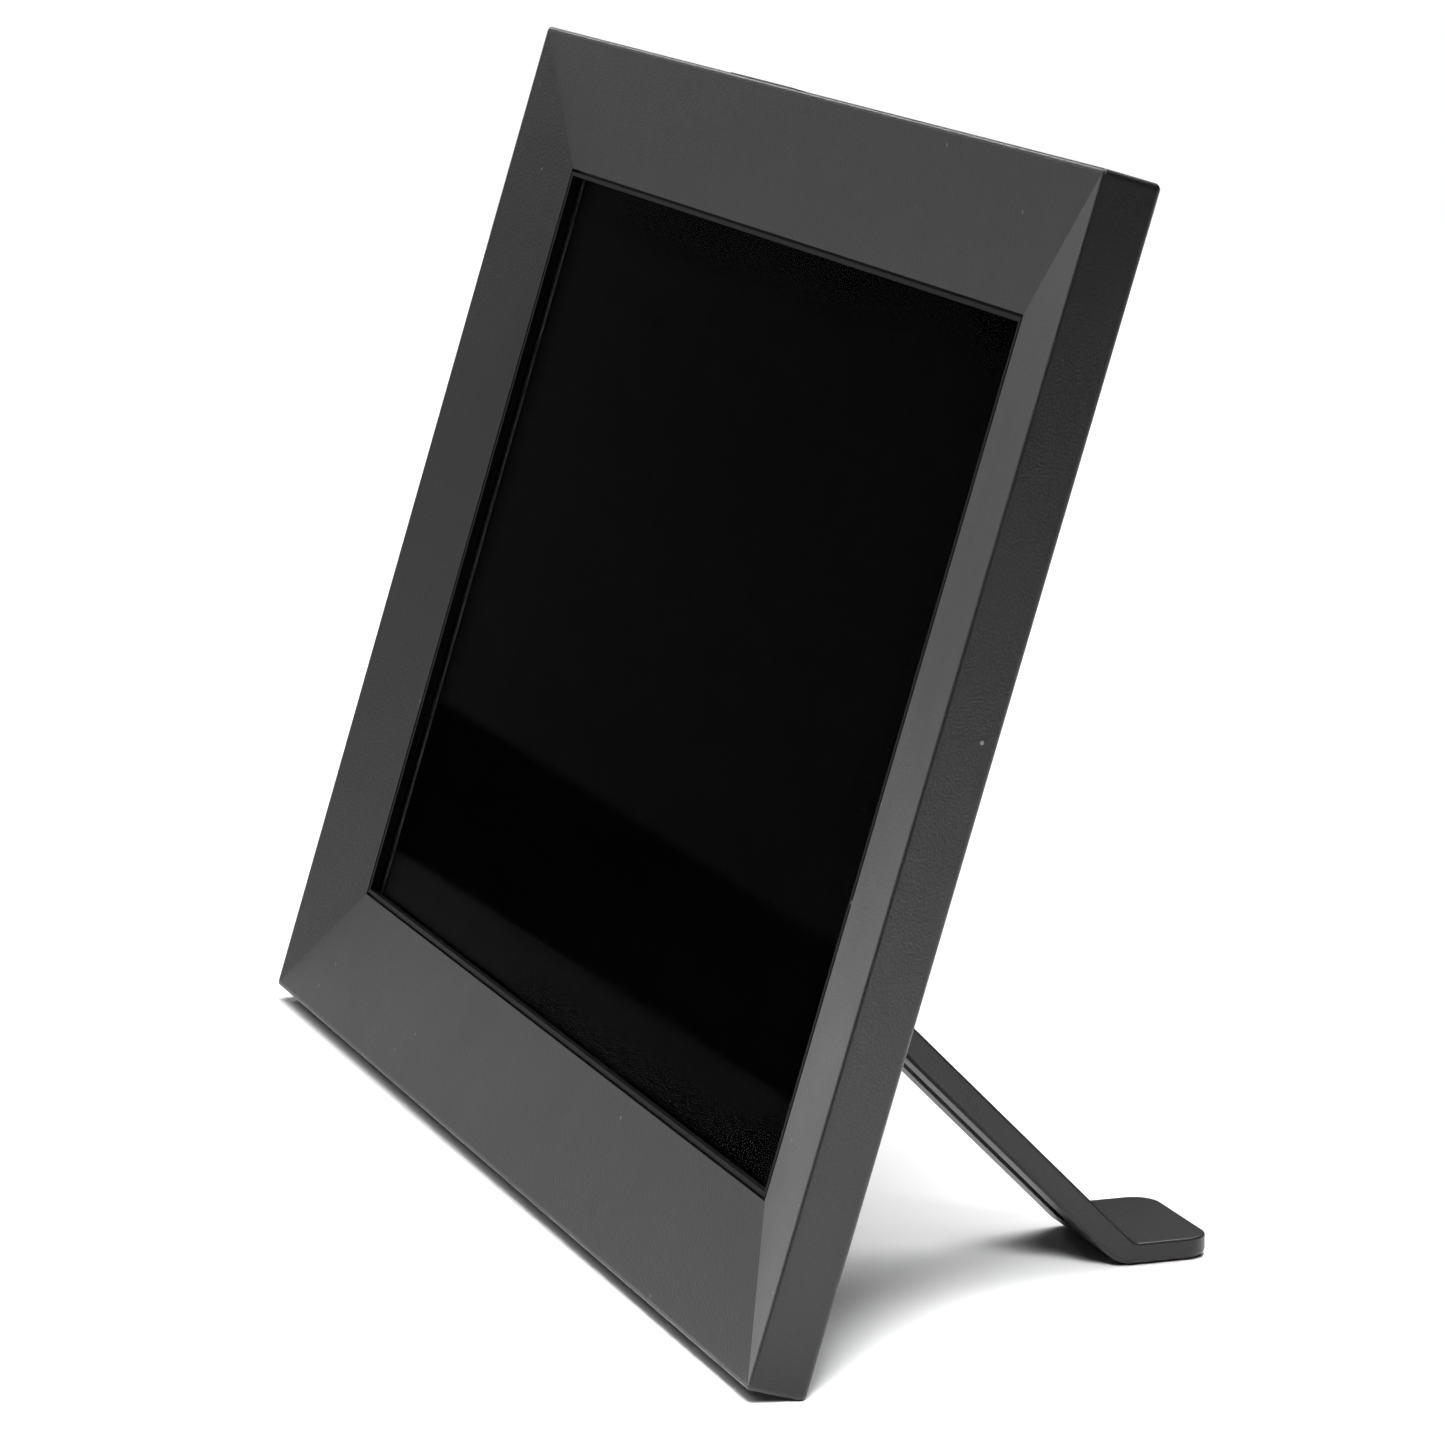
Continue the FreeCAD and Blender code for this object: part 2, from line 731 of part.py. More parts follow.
def panel_brackets():
    """Two angle strips that hold the panel's sides to posts on the bezel, and their screws."""
    for side, sign in (("left", -1), ("right", 1)):
        piece = Piece("Bracket")
        inner = (panel_width / 2 + bracket_gap) * sign
        bend = inner + bracket_sheet * sign
        outer = inner + bracket_reach * sign
        top = bracket_depth
        bottom = bracket_depth + bracket_sheet
        outline = piece.flat(bracket_low)
        outline.path([(inner, top), (outer, top), (outer, bottom),
                      (bend, bottom), (bend, guide_back), (inner, guide_back)])
        piece.pad(outline, bracket_high - bracket_low)
        for across, up in bracket_posts():
            if across.value * sign > 0:
                hole = piece.facing(bracket_depth).circle(across, up, bracket_screw + screw_slack)
                piece.cut(hole, bracket_sheet * 2)
        lean_back(piece.body, f"panel_bracket_{side}")
    head_front = bracket_depth + bracket_sheet
    screws = [screw(across, up, head_front, bracket_head, bracket_head_depth,
                    bracket_screw, bracket_screw_length, True) for across, up in bracket_posts()]
    lean_back(group(screws), "bracket_screws")


def panel_wiring():
    """The panel's driver board, its flat ribbon and the connector on the main board."""
    driver_front = panel_back + driver_gap
    driver_tall = driver_high - driver_low
    driver = block(-driver_width / 2, driver_front, driver_low, driver_width, driver_thick, driver_tall)
    lean_back(group([driver]), "panel_driver_board")
    ribbon_tall = connector_up - driver_high
    ribbon = block(-ribbon_width / 2, driver_front, driver_high, ribbon_width, ribbon_thick, ribbon_tall)
    lean_back(group([ribbon]), "panel_ribbon")
    connector_front = board_front - connector_thick
    connector_width = ribbon_width + wall
    connector = block(-connector_width / 2, connector_front, connector_up,
                      connector_width, connector_thick, connector_tall)
    slot = block(-ribbon_width / 2, connector_front + ribbon_thick * 2, connector_up,
                 ribbon_width, ribbon_thick * 2, connector_tall / 2)
    lean_back(group([carve(connector, [slot])]), "ribbon_connector")


# ---------------------------------------------------------------- rear cover
def slope_at(depth):
    """Half width of the hump's sloping side at a depth."""
    rise = (depth - flange_outer) / (hump_depth - flange_outer)
    return half_width - hump_base - rise * (hump_side - hump_base)


def rear_cover():
    """The back shell: a flange inside the bezel's walls and a raised hump for the electronics."""
    piece = Piece("RearCover")
    flange_width = frame_width - (wall + cover_fit) * 2
    flange_height = frame_height - (wall + cover_fit) * 2
    piece.pad(piece.facing(flange_inner).centred(0, middle, flange_width, flange_height), skin, flip=True)
    for kind, shift, foot, top in (("AdditiveLoft", 0, flange_outer, hump_depth),
                                   ("SubtractiveLoft", shell_shift, flange_inner, hump_inner)):
        foot_width = frame_width - (hump_base + shift) * 2
        foot_height = frame_height - (hump_base + shift) * 2
        top_width = frame_width - (hump_side + shift) * 2
        top_height = frame_height - (hump_end + shift) * 2
        low = piece.facing(foot).centred(0, middle, foot_width, foot_height)
        high = piece.facing(top).centred(0, middle, top_width, top_height)
        piece.loft(kind, low, high)
        if kind == "AdditiveLoft":
            piece.dress("Fillet", slopes_back, hump_corner)
            piece.dress("Fillet", lambda edge: at(edge, 1, hump_depth), hump_round)
    port_bay(piece)
    hub_seat(piece)
    cover_posts(piece)
    cover_openings(piece)
    return lean_back(piece.body, "rear_cover")


def slopes_back(edge):
    """True for the four edges that run up the hump's corners."""
    start, stop = ends(edge)
    depths = sorted((start.y, stop.y))
    return same(depths[0], flange_outer.value) and same(depths[1], hump_depth.value)


def port_bay(piece):
    """A notch in the hump's left side, whose inner wall carries the sockets."""
    inside = -bay_face + bay_skin
    under = bay_floor - bay_skin
    walls = piece.flat(bay_low - bay_skin)
    walls.path([(inside, under), (inside, hump_depth),
                (-slope_at(hump_depth), hump_depth), (-slope_at(under), under)])
    piece.pad(walls, bay_high - bay_low + bay_skin * 2)
    bay = piece.flat(bay_low).rectangle(-frame_width / 2, -bay_face, bay_floor, hump_depth + 1)
    piece.cut(bay, bay_high - bay_low, flip=True)
    for socket in sockets():
        opening = piece.sideways(-bay_face)
        thick = socket["thick"] + socket_fit * 2
        wide = socket["wide"] + socket_fit * 2
        opening.centred(socket["depth"], socket["up"], thick, wide)
        piece.cut(opening, bay_skin, flip=True)


def hub_seat(piece):
    """A round sink for the turntable, the hole for its neck and two stops behind it."""
    boss = piece.facing(hub_wall_inner).circle(hub_across, hub_height, hub_radius + hub_gap + skin)
    piece.pad(boss, skin * 2, flip=True)
    sink = piece.facing(hump_depth).circle(hub_across, hub_height, hub_radius + hub_gap)
    piece.cut(sink, hub_sink, flip=True)
    neck = piece.facing(hump_depth).circle(hub_across, hub_height, neck_radius + neck_gap)
    piece.cut(neck, hub_sink + skin * 2, flip=True)
    for sign in (-1, 1):
        place = hub_across + (retainer_radius + stop_reach / 2) * sign
        stop = piece.facing(hub_wall_inner)
        stop.circle(place, hub_height + stop_tab / 2 + stop_pin + stop_gap, stop_pin)
        piece.pad(stop, retainer_thick + washer_thick + hub_gap)


def cover_posts(piece):
    """Posts inside the hump for the main board and the key board, with screw holes."""
    for across, up in board_posts():
        piece.pad(piece.facing(board_back).circle(across, up, board_post), hump_inner - board_back, flip=True)
    for across, up in key_board_posts():
        start = key_board_front + key_board_thick
        piece.pad(piece.facing(start).circle(across, up, board_post), hump_inner - start, flip=True)
    for across, up in board_posts() + key_board_posts():
        piece.cut(piece.facing(board_back).circle(across, up, board_screw), board_screw_hole)


def cover_openings(piece):
    """Screw holes, keyholes, vents, loudspeaker slots and key holes."""
    for across, up in case_posts():
        for radius, deep in ((case_screw + case_slack, skin), (case_head + case_slack, case_head_depth)):
            piece.cut(piece.facing(flange_outer).circle(across, up, radius), deep, flip=True)
    for sign in (-1, 1):
        place = keyhole_out * sign
        piece.cut(piece.facing(hump_depth).circle(place, keyhole_height, keyhole_head), skin, flip=True)
        top = keyhole_height + keyhole_run
        neck = piece.facing(hump_depth)
        neck.rectangle(place - keyhole_neck, place + keyhole_neck, keyhole_height, top)
        piece.cut(neck, skin, flip=True)
        piece.cut(piece.facing(hump_depth).circle(place, top, keyhole_neck), skin, flip=True)
    vents = piece.facing(hump_depth)
    for index in range(vent_count):
        vents.centred(vent_start + vent_pitch * index, vent_height, vent_width, vent_length)
    piece.cut(vents, skin, flip=True)
    slots = piece.facing(hump_depth)
    for sign in (-1, 1):
        for index in range(-2, 3):
            length = slot_length - slot_step * abs(index)
            slots.centred(speaker_out * sign, speaker_high + slot_pitch * index, length, slot_width)
    piece.cut(slots, skin, flip=True)
    for _, across in rear_keys():
        piece.cut(piece.facing(hump_depth).circle(across, key_height, key_radius + key_gap), skin, flip=True)


def cover_screws():
    """The screws that hold the rear cover to the bezel."""
    head_front = flange_outer - case_head_depth
    head_thick = case_head_depth - screw_slack
    screws = [screw(across, up, head_front, case_head, head_thick, case_screw, case_screw_length - 1, True)
              for across, up in case_posts()]
    lean_back(group(screws), "cover_screws")


# ---------------------------------------------------------------- electronics
def sockets():
    """The sockets in the bay: place up the side, middle in depth, and shell width, thickness and length.

    The USB socket is sunk into a notch in the board, and the others stand on its rear side.
    """
    table = (("card_slot", card_up, 26, 2.8, 28, 0.4), ("usb_socket", usb_up, 13.2, 5.7, 14, 0.3),
             ("mini_usb_socket", mini_up, 7.8, 4, 9, 0.45), ("power_socket", power_up, 9.4, 3.3, 8, 0.4))
    found = []
    for name, up, wide, thick, length, shell in table:
        depth = board_front + 3 if name == "usb_socket" else board_back + slack + thick / 2
        found.append(dict(name=name, up=up, depth=depth, wide=wide, thick=thick, length=length, shell=shell))
    return found


def socket_pieces():
    """Metal shells with an open mouth and a contact tongue."""
    mouth = -bay_face + socket_fit
    for socket in sockets():
        depth, up, length = socket["depth"], socket["up"], socket["length"]
        wide, thick, shell_wall = socket["wide"], socket["thick"], socket["shell"]
        shell = block(mouth, depth - thick / 2, up - wide / 2, length, thick, wide)
        hole = thick - shell_wall * 2
        hole_wide = wide - shell_wall * 2
        hole_length = length - shell_wall + 1
        hollow = block(mouth - 1, depth - hole / 2, up - hole_wide / 2, hole_length, hole, hole_wide)
        tongue_thick = hole * 0.3
        tongue_wide = hole_wide * 0.8
        tongue = block(mouth + 1, depth - tongue_thick / 2, up - tongue_wide / 2,
                       length - 1, tongue_thick, tongue_wide)
        lean_back(group([join([carve(shell, [hollow]), tongue])]), socket["name"])


def board_posts():
    """Places of the main board's screws."""
    left = -board_left + board_socket_room
    right = board_right - board_inset
    heights = (board_low + board_inset, board_high - board_inset)
    return [(across, up) for up in heights for across in (left, right)]


def main_board():
    """The circuit board, its screws and the parts soldered to it."""
    piece = Piece("MainBoard")
    outline = piece.facing(board_front).rectangle(-board_left, board_right, board_low, board_high)
    for across, up in board_posts():
        outline.circle(across, up, board_screw + board_slack)
    piece.pad(outline, board_thick, flip=True)
    usb = [socket for socket in sockets() if socket["name"] == "usb_socket"][0]
    notch = piece.facing(board_front)
    notch.centred(-board_left, usb["up"], usb_notch * 2, usb["wide"] + hub_gap * 2)
    piece.cut(notch, board_thick)
    lean_back(piece.body, "main_board")
    lean_back(group(board_screw_set(board_posts(), board_front, board_screw_length)), "board_screws")


def board_screw_set(places, board_face, length):
    """Screws that go in from a board's front face towards the rear cover."""
    head_front = board_face - board_screw_head_depth
    return [screw(across, up, head_front, board_screw_head, board_screw_head_depth,
                  board_screw, length, False) for across, up in places]


def board_parts():
    """Chips, shield, coils, capacitors and the clock's cell on the board's rear side."""
    face = board_back
    chip = block(chip_left, face, chip_low, chip_side, chip_thick, chip_side)
    lean_back(group([chip]), "processor")
    memories = [block(memory_left, face, low, memory_width, memory_thick, memory_tall)
                for low in (memory_low, memory_low + memory_pitch)]
    lean_back(group(memories), "memory_chips")
    pad_left = chip_left + chip_border
    pad_low = chip_low + chip_border
    pad_side = chip_side - chip_border * 2
    pad_thick = shield_thick - chip_thick - sheet_metal
    pad = block(pad_left, face + chip_thick, pad_low, pad_side, pad_thick, pad_side)
    lean_back(group([pad]), "thermal_pad")
    shell = block(shield_left, face, shield_low, shield_width, shield_thick, shield_tall)
    inside = block(shield_left + sheet_metal, face - sheet_metal, shield_low + sheet_metal,
                   shield_width - sheet_metal * 2, shield_thick, shield_tall - sheet_metal * 2)
    lean_back(group([carve(shell, [inside])]), "processor_shield")
    coils = [block(coil_left + coil_pitch * index, face, coil_low, coil_side, coil_thick, coil_side)
             for index in range(2)]
    lean_back(group(coils), "inductors")
    cans = [rod(can_left + can_pitch * index + can_break * (index // 2), face, can_up, can_radius, can_tall)
            for index in range(4)]
    lean_back(group(cans), "capacitors")
    seat = face + holder_floor
    holder = carve(rod(cell_across, face, cell_up, cell_radius + holder_wall, holder_tall),
                   [rod(cell_across, seat, cell_up, cell_radius + slack, holder_tall)])
    lean_back(group([holder]), "cell_holder")
    lean_back(group([rod(cell_across, seat, cell_up, cell_radius, coin_thick)]), "coin_cell")


def loudspeakers():
    """Two round loudspeakers behind the slots in the hump."""
    for side, sign in (("left", -1), ("right", 1)):
        place = speaker_out * sign
        gasket_front = hump_inner - speaker_gasket
        ring = carve(rod(place, gasket_front, speaker_high, speaker_radius, speaker_gasket - slack),
                     [rod(place, gasket_front - 1, speaker_high, speaker_radius - speaker_rim, speaker_tall)])
        lean_back(group([ring]), f"speaker_gasket_{side}")
        can_front = gasket_front - speaker_tall
        room = speaker_radius - speaker_wall
        can = carve(rod(place, can_front, speaker_high, speaker_radius, speaker_tall),
                    [rod(place, can_front + speaker_wall, speaker_high, room, speaker_tall),
                     rod(place, can_front - 1, speaker_high, magnet_radius + slack, speaker_tall)])
        lean_back(group([can]), f"speaker_frame_{side}")
        magnet = rod(place, can_front - magnet_proud, speaker_high, magnet_radius, magnet_thick)
        lean_back(group([magnet]), f"speaker_magnet_{side}")
        outer, hollow = [cone_at(place, can_front + start, speaker_high, cone_root, room - slack, cone_deep)
                         for start in (cone_start, cone_start + cone_thick)]
        lean_back(group([carve(outer, [hollow])]), f"speaker_cone_{side}")


def cone_at(across, depth, up, first_radius, second_radius, length):
    """A cone that widens to the back."""
    made = doc.addObject("Part::Cone", "Cone")
    made.Placement.Rotation = FreeCAD.Rotation(FreeCAD.Vector(1, 0, 0), -90)
    for path, amount in (("Radius1", first_radius), ("Radius2", second_radius), ("Height", length)):
        bind(made, path, amount)
    for path, amount in (("x", across), ("y", depth), ("z", up)):
        bind(made, f"Placement.Base.{path}", amount)
    return made


# ---------------------------------------------------------------- keys
def rear_keys():
    """Names and places of the keys on the back."""
    names = ("menu_key", "previous_key", "next_key", "select_key")
    return [(name, -key_start + key_pitch * index) for index, name in enumerate(names)]


def key_board_posts():
    """Places of the key board's two screws."""
    last = -key_start + key_pitch * 3
    return [(-key_start - key_board_reach, key_height), (last + key_board_reach, key_height)]


def key_set():
    """The rear keys, their switches and the small board that carries them."""
    back_of_board = key_board_front + key_board_thick
    switch_back = back_of_board + switch_tall
    well_floor = switch_back - switch_well
    for name, across in rear_keys():
        piece = Piece("Key")
        collar_front = hump_inner - screw_slack - key_collar_thick
        collar = piece.facing(collar_front).circle(across, key_height, key_collar)
        piece.pad(collar, key_collar_thick, flip=True)
        cap = piece.facing(collar_front).circle(across, key_height, key_radius)
        piece.pad(cap, hump_depth + key_proud - collar_front, flip=True)
        stem_front = well_floor + key_travel + stem_rest
        stem = piece.facing(stem_front).circle(across, key_height, stem_radius)
        piece.pad(stem, collar_front - stem_front, flip=True)
        piece.dress("Fillet", lambda edge: at(edge, 1, hump_depth + key_proud), key_edge)
        lean_back(piece.body, name)
    piece = Piece("KeyBoard")
    first, last = [across for across, _ in key_board_posts()]
    outline = piece.facing(key_board_front)
    outline.rectangle(first - key_board_edge, last + key_board_edge,
                      key_height - key_board_tall / 2, key_height + key_board_tall / 2)
    for across, up in key_board_posts():
        outline.circle(across, up, board_screw + board_slack)
    piece.pad(outline, key_board_thick, flip=True)
    lean_back(piece.body, "key_board")
    switches = []
    for _, across in rear_keys():
        half = switch_side / 2
        body = block(across - half, back_of_board, key_height - half, switch_side, switch_tall, switch_side)
        well = rod(across, well_floor, key_height, stem_radius + stem_gap, switch_tall)
        switches.append(carve(body, [well]))
    lean_back(group(switches), "key_switches")
    length = board_screw_length - board_slack * 2
    lean_back(group(board_screw_set(key_board_posts(), key_board_front, length)), "key_board_screws")


def top_key_set():
    """The long key in the top edge, with its switch and small board."""
    rest_gap = key_travel + slack
    low = frame_height - bar_sink + rest_gap
    cap_width = bar_left - bar_right - bar_gap * 2
    cap_depth = bar_depth - bar_gap * 2
    cap_height = bar_sink + bar_proud - rest_gap
    shapes = [block(-bar_left + bar_gap, -bar_front + bar_gap, low, cap_width, cap_depth, cap_height)]
    stem_front = bar_stem_depth() - bar_stem_thick / 2
    well_floor = bar_switch_up - switch_well
    for index, across in enumerate(bar_stems()):
        bottom = well_floor + key_travel + stem_rest if index == 1 else frame_height - wall * 1.5
        left = across - bar_stem_width / 2
        shapes.append(block(left, stem_front, bottom, bar_stem_width, bar_stem_thick, low - bottom))
    lean_back(group([join(shapes)]), "top_key")
    centre = bar_stems()[1]
    board_top = bar_switch_up - switch_tall
    switch = block(centre - switch_side / 2, stem_front + board_slack, board_top,
                   switch_side, bar_board_deep + board_slack, switch_tall)
    well_width = bar_stem_width + stem_gap * 2
    well = block(centre - well_width / 2, stem_front - 1, well_floor,
                 well_width, bar_stem_thick + stem_gap + 1, switch_tall)
    lean_back(group([carve(switch, [well])]), "top_key_switch")
    board = block(centre - bar_board_width / 2, stem_front + board_slack * 2, board_top - key_board_thick,
                  bar_board_width, bar_board_deep, key_board_thick)
    lean_back(group([board]), "top_key_board")


# ---------------------------------------------------------------- stand
def turntable():
    """The round plate that swivels in the cover, its neck and the two hinge lugs."""
    piece = Piece("Turntable")
    plate_front = hub_floor + hub_slack
    neck_front = hub_wall_inner - hub_slack - washer_thick
    plate_back = hump_depth + hub_proud
    stages = ((plate_front, plate_back, hub_radius), (neck_front, plate_front, neck_radius))
    for start, stop, radius in stages:
        piece.pad(piece.facing(start).circle(hub_across, hub_height, radius), stop - start, flip=True)
    piece.dress("Chamfer", lambda edge: at(edge, 1, plate_back), hub_chamfer)
    for sign in (-1, 1):
        right = hub_across + lug_inner * sign + lug_thick / 2 * (sign + 1)
        left = right - lug_thick
        lug = piece.sideways(left)
        root = plate_back - hub_slack
        root_half = lug_radius + lug_flare
        lug.path([(root, hub_height - root_half), (pin_back, hub_height - lug_radius),
                  (pin_back, hub_height + lug_radius), (root, hub_height + root_half)])
        piece.pad(lug, lug_thick)
        piece.pad(piece.sideways(left).circle(pin_back, hub_height, lug_radius), lug_thick)
        piece.cut(piece.sideways(left).circle(pin_back, hub_height, pin_radius), lug_thick, flip=True)
    for across, up in retainer_spots():
        piece.cut(piece.facing(neck_front).circle(across, up, retainer_screw), retainer_screw_length)
    lean_back(piece.body, "turntable")


def retainer_spots():
    """Places of the three screws in the turntable's neck."""
    spots = []
    for index in range(3):
        angle = as_size(90 + 120 * index)
        spots.append((hub_across + retainer_ring * cosine(angle), hub_height + retainer_ring * sine(angle)))
    return spots


def turntable_keepers():
    """The friction washer, the retainer with its stop tab, and their screws."""
    washer_front = hub_wall_inner - hub_slack - washer_thick
    washer = carve(rod(hub_across, washer_front, hub_height, retainer_radius, washer_thick),
                   [rod(hub_across, washer_front - 1, hub_height, neck_radius + hub_slack, skin)])
    lean_back(group([washer]), "swivel_washer")
    piece = Piece("Retainer")
    retainer_front = washer_front - retainer_thick
    disc = piece.facing(retainer_front).circle(hub_across, hub_height, retainer_radius)
    piece.pad(disc, retainer_thick, flip=True)
    tab = piece.facing(retainer_front)
    tab.rectangle(hub_across - stop_tab / 2, hub_across + stop_tab / 2,
                  hub_height - retainer_radius - stop_reach, hub_height)
    piece.pad(tab, retainer_thick, flip=True)
    for across, up in retainer_spots():
        hole = piece.facing(retainer_front).circle(across, up, retainer_screw + screw_slack)
        piece.cut(hole, retainer_thick)
    lean_back(piece.body, "turntable_retainer")
    head_front = retainer_front - 1
    screws = [screw(across, up, head_front, retainer_head, 1, retainer_screw, retainer_screw_length, False)
              for across, up in retainer_spots()]
    lean_back(group(screws), "retainer_screws")


def hinge_pin():
    """The steel pin across the lugs, which the leg turns on."""
    made = doc.addObject("Part::Cylinder", "Pin")
    made.Placement.Rotation = FreeCAD.Rotation(FreeCAD.Vector(0, 1, 0), 90)
    length = leg_width - pin_inset * 2
    bind(made, "Radius", pin_radius)
    bind(made, "Height", length)
    bind(made, "Placement.Base.x", hub_across - length / 2)
    bind(made, "Placement.Base.y", pin_back)
    bind(made, "Placement.Base.z", hub_height)
    lean_back(group([made]), "hinge_pin")


def standing(depth, up):
    """Where a place in the upright frame lies once the frame leans."""
    return depth * cosine(lean) + up * sine(lean), up * cosine(lean) - depth * sine(lean) - edge_drop


def along_leg(reach, rise):
    """A place on the standing leg: reach from the pin down the leg, rise to its upper side."""
    return (pin_stand_y + reach * cosine(leg_drop) + rise * sine(leg_drop),
            pin_stand_z - reach * sine(leg_drop) + rise * cosine(leg_drop))


def meets(rise, level):
    """How far down the leg the line at a rise comes down to a level."""
    return (pin_stand_z + rise * cosine(leg_drop) - level) / sine(leg_drop)


def stand_leg():
    """The leg: a flat moulding with a hinge knuckle at its root, a groove underneath and a flat foot."""
    piece = Piece("StandLeg")
    right = hub_across + leg_width / 2
    left = hub_across - leg_width / 2
    half = leg_thick / 2
    upper = along_leg(meets(half, foot_top), half)
    lower = along_leg(meets(-half, pad_proud), -half)
    profile = piece.sideways(left)
    profile.path([along_leg(0, half), upper, (foot_end, foot_top),
                  (foot_end, pad_proud), lower, along_leg(0, -half)])
    piece.pad(profile, leg_width)
    piece.dress("Fillet", lambda edge: along(edge, 0) and at(edge, 1, lower[0]), heel_round)
    piece.dress("Fillet", lambda edge: along(edge, 0) and at(edge, 1, upper[0]), instep_round)
    piece.dress("Fillet", lambda edge: along(edge, 2) and at(edge, 1, foot_end), foot_corner)
    piece.pad(piece.sideways(left).circle(pin_stand_y, pin_stand_z, leg_knuckle), leg_width)
    heel_front = hump_depth + hub_proud + stop_gap
    heel = piece.sideways(left)
    heel.path([standing(heel_front, hub_height), standing(pin_back, hub_height),
               standing(pin_back, hub_height + leg_knuckle), standing(heel_front, hub_height + leg_knuckle)])
    piece.pad(heel, leg_width)
    for sign in (-1, 1):
        slot_left = hub_across + (lug_inner + lug_thick / 2) * sign - lug_thick / 2 - hub_gap
        slot_width = lug_thick + hub_gap * 2
        clear = lug_radius + lug_clear
        piece.cut(piece.sideways(slot_left).circle(pin_stand_y, pin_stand_z, clear), slot_width, flip=True)
        root = piece.sideways(slot_left)
        root.rectangle(pin_stand_y - clear * 2, pin_stand_y,
                       pin_stand_z - clear * 1.2, pin_stand_z + clear * 2)
        piece.cut(root, slot_width, flip=True)
    bore = piece.sideways(left).circle(pin_stand_y, pin_stand_z, pin_radius + pin_gap)
    piece.cut(bore, leg_width, flip=True)
    leg_groove(piece)
    sole = piece.flat(pad_proud)
    sole_back = foot_end - pad_margin
    sole.rectangle(left + pad_margin, right - pad_margin, sole_back - pad_length, sole_back)
    piece.cut(sole, pad_depth, flip=True)
    piece.dress("Fillet", lambda edge: lower_side_edge(edge, left, right), leg_round)
    piece.dress("Fillet", lambda edge: on_foot_top(edge, upper[0]), leg_edge)
    stand_on_table(piece.body, "stand_leg")
    pad = Piece("FootPad")
    inset = pad_margin + slack
    outline = pad.flat(0)
    outline.rectangle(left + inset, right - inset, sole_back - pad_length + slack, sole_back - slack)
    pad.pad(outline, pad_proud + pad_depth)
    stand_on_table(pad.body, "foot_pad")


def leg_groove(piece):
    """One long groove down the middle of the leg's underside, which thins the moulding there."""
    under = -leg_thick / 2 - 1
    roof = -leg_thick / 2 + groove_depth
    groove = piece.sideways(hub_across - groove_width / 2)
    groove.path([along_leg(groove_start, under), along_leg(groove_end, under),
                 along_leg(groove_end, roof), along_leg(groove_start, roof)])
    piece.cut(groove, groove_width, flip=True)


def on_foot_top(edge, instep):
    """True for the edges round the foot's flat top, behind the instep."""
    return at(edge, 2, foot_top) and edge.Vertexes[0].Point.y > instep.value


def lower_side_edge(edge, left, right):
    """True for the two long straight edges at the sides of the leg's underside."""
    start, stop = ends(edge)
    on_side = (at(edge, 0, left) or at(edge, 0, right))
    if not on_side or edge.Length < 30:
        return False
    for point in (start, stop):
        rise = (point.y - pin_stand_y.value) * math.sin(math.radians(leg_drop.value))
        rise += (point.z - pin_stand_z.value) * math.cos(math.radians(leg_drop.value))
        if not same(rise, -leg_thick.value / 2):
            return False
    return True


front_bezel()
inner_liner()
display_stack()
panel_brackets()
panel_wiring()
rear_cover()
cover_screws()
main_board()
board_parts()
socket_pieces()
loudspeakers()
key_set()
top_key_set()
turntable()
turntable_keepers()
hinge_pin()
stand_leg()


# ---------------------------------------------------------------- check and write
def write_all():
    """Check every object, then write each sub-part to its own file."""
    doc.recompute()
    for thing in doc.Objects:
        if "Invalid" in thing.State or "Error" in thing.State:
            raise SystemExit(f"{thing.Name} ({thing.Label}) failed: {thing.State}")
    os.makedirs("parts", exist_ok=True)
    for thing in sub_parts:
        if thing.Shape.isNull() or not thing.Shape.isValid():
            raise SystemExit(f"{thing.Label} has no valid shape")
        thing.Shape.exportStep(f"parts/{thing.Label}.step")
        box = thing.Shape.BoundBox
        spans = [f"{low:8.2f} {high:8.2f}" for low, high in
                 ((box.XMin, box.XMax), (box.YMin, box.YMax), (box.ZMin, box.ZMax))]
        print(f"{thing.Label:22s} solids {len(thing.Shape.Solids):2d}", "  ".join(spans))


write_all()
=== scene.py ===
# %% [markdown]
# # A digital photo frame on its kickstand
# The imported CAD model is the fixed frame of this lesson. It already has every casting, board, key and
# screw in its right place, so Blender adds what CAD doesn't hold: the finish of each surface, the small
# sprung contacts in the sockets, the light and the camera. Loading comes first.

import json
import math

import bpy
import numpy as np
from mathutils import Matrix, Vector


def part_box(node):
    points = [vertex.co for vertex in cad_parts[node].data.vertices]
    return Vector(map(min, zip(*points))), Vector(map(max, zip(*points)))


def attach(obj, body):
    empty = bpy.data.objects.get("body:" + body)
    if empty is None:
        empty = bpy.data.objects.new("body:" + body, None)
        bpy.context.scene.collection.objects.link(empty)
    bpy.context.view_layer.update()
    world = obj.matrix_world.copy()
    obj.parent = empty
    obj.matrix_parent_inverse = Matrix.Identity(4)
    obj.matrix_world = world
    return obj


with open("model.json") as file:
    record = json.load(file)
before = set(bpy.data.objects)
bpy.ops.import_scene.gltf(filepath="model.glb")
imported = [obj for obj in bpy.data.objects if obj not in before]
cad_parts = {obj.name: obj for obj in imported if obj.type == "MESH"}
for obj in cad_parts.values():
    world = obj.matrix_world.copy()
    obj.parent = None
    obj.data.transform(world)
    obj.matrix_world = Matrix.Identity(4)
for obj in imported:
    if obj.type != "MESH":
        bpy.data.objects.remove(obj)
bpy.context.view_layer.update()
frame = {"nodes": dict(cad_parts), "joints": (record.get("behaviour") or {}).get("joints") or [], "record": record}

MM = 0.001

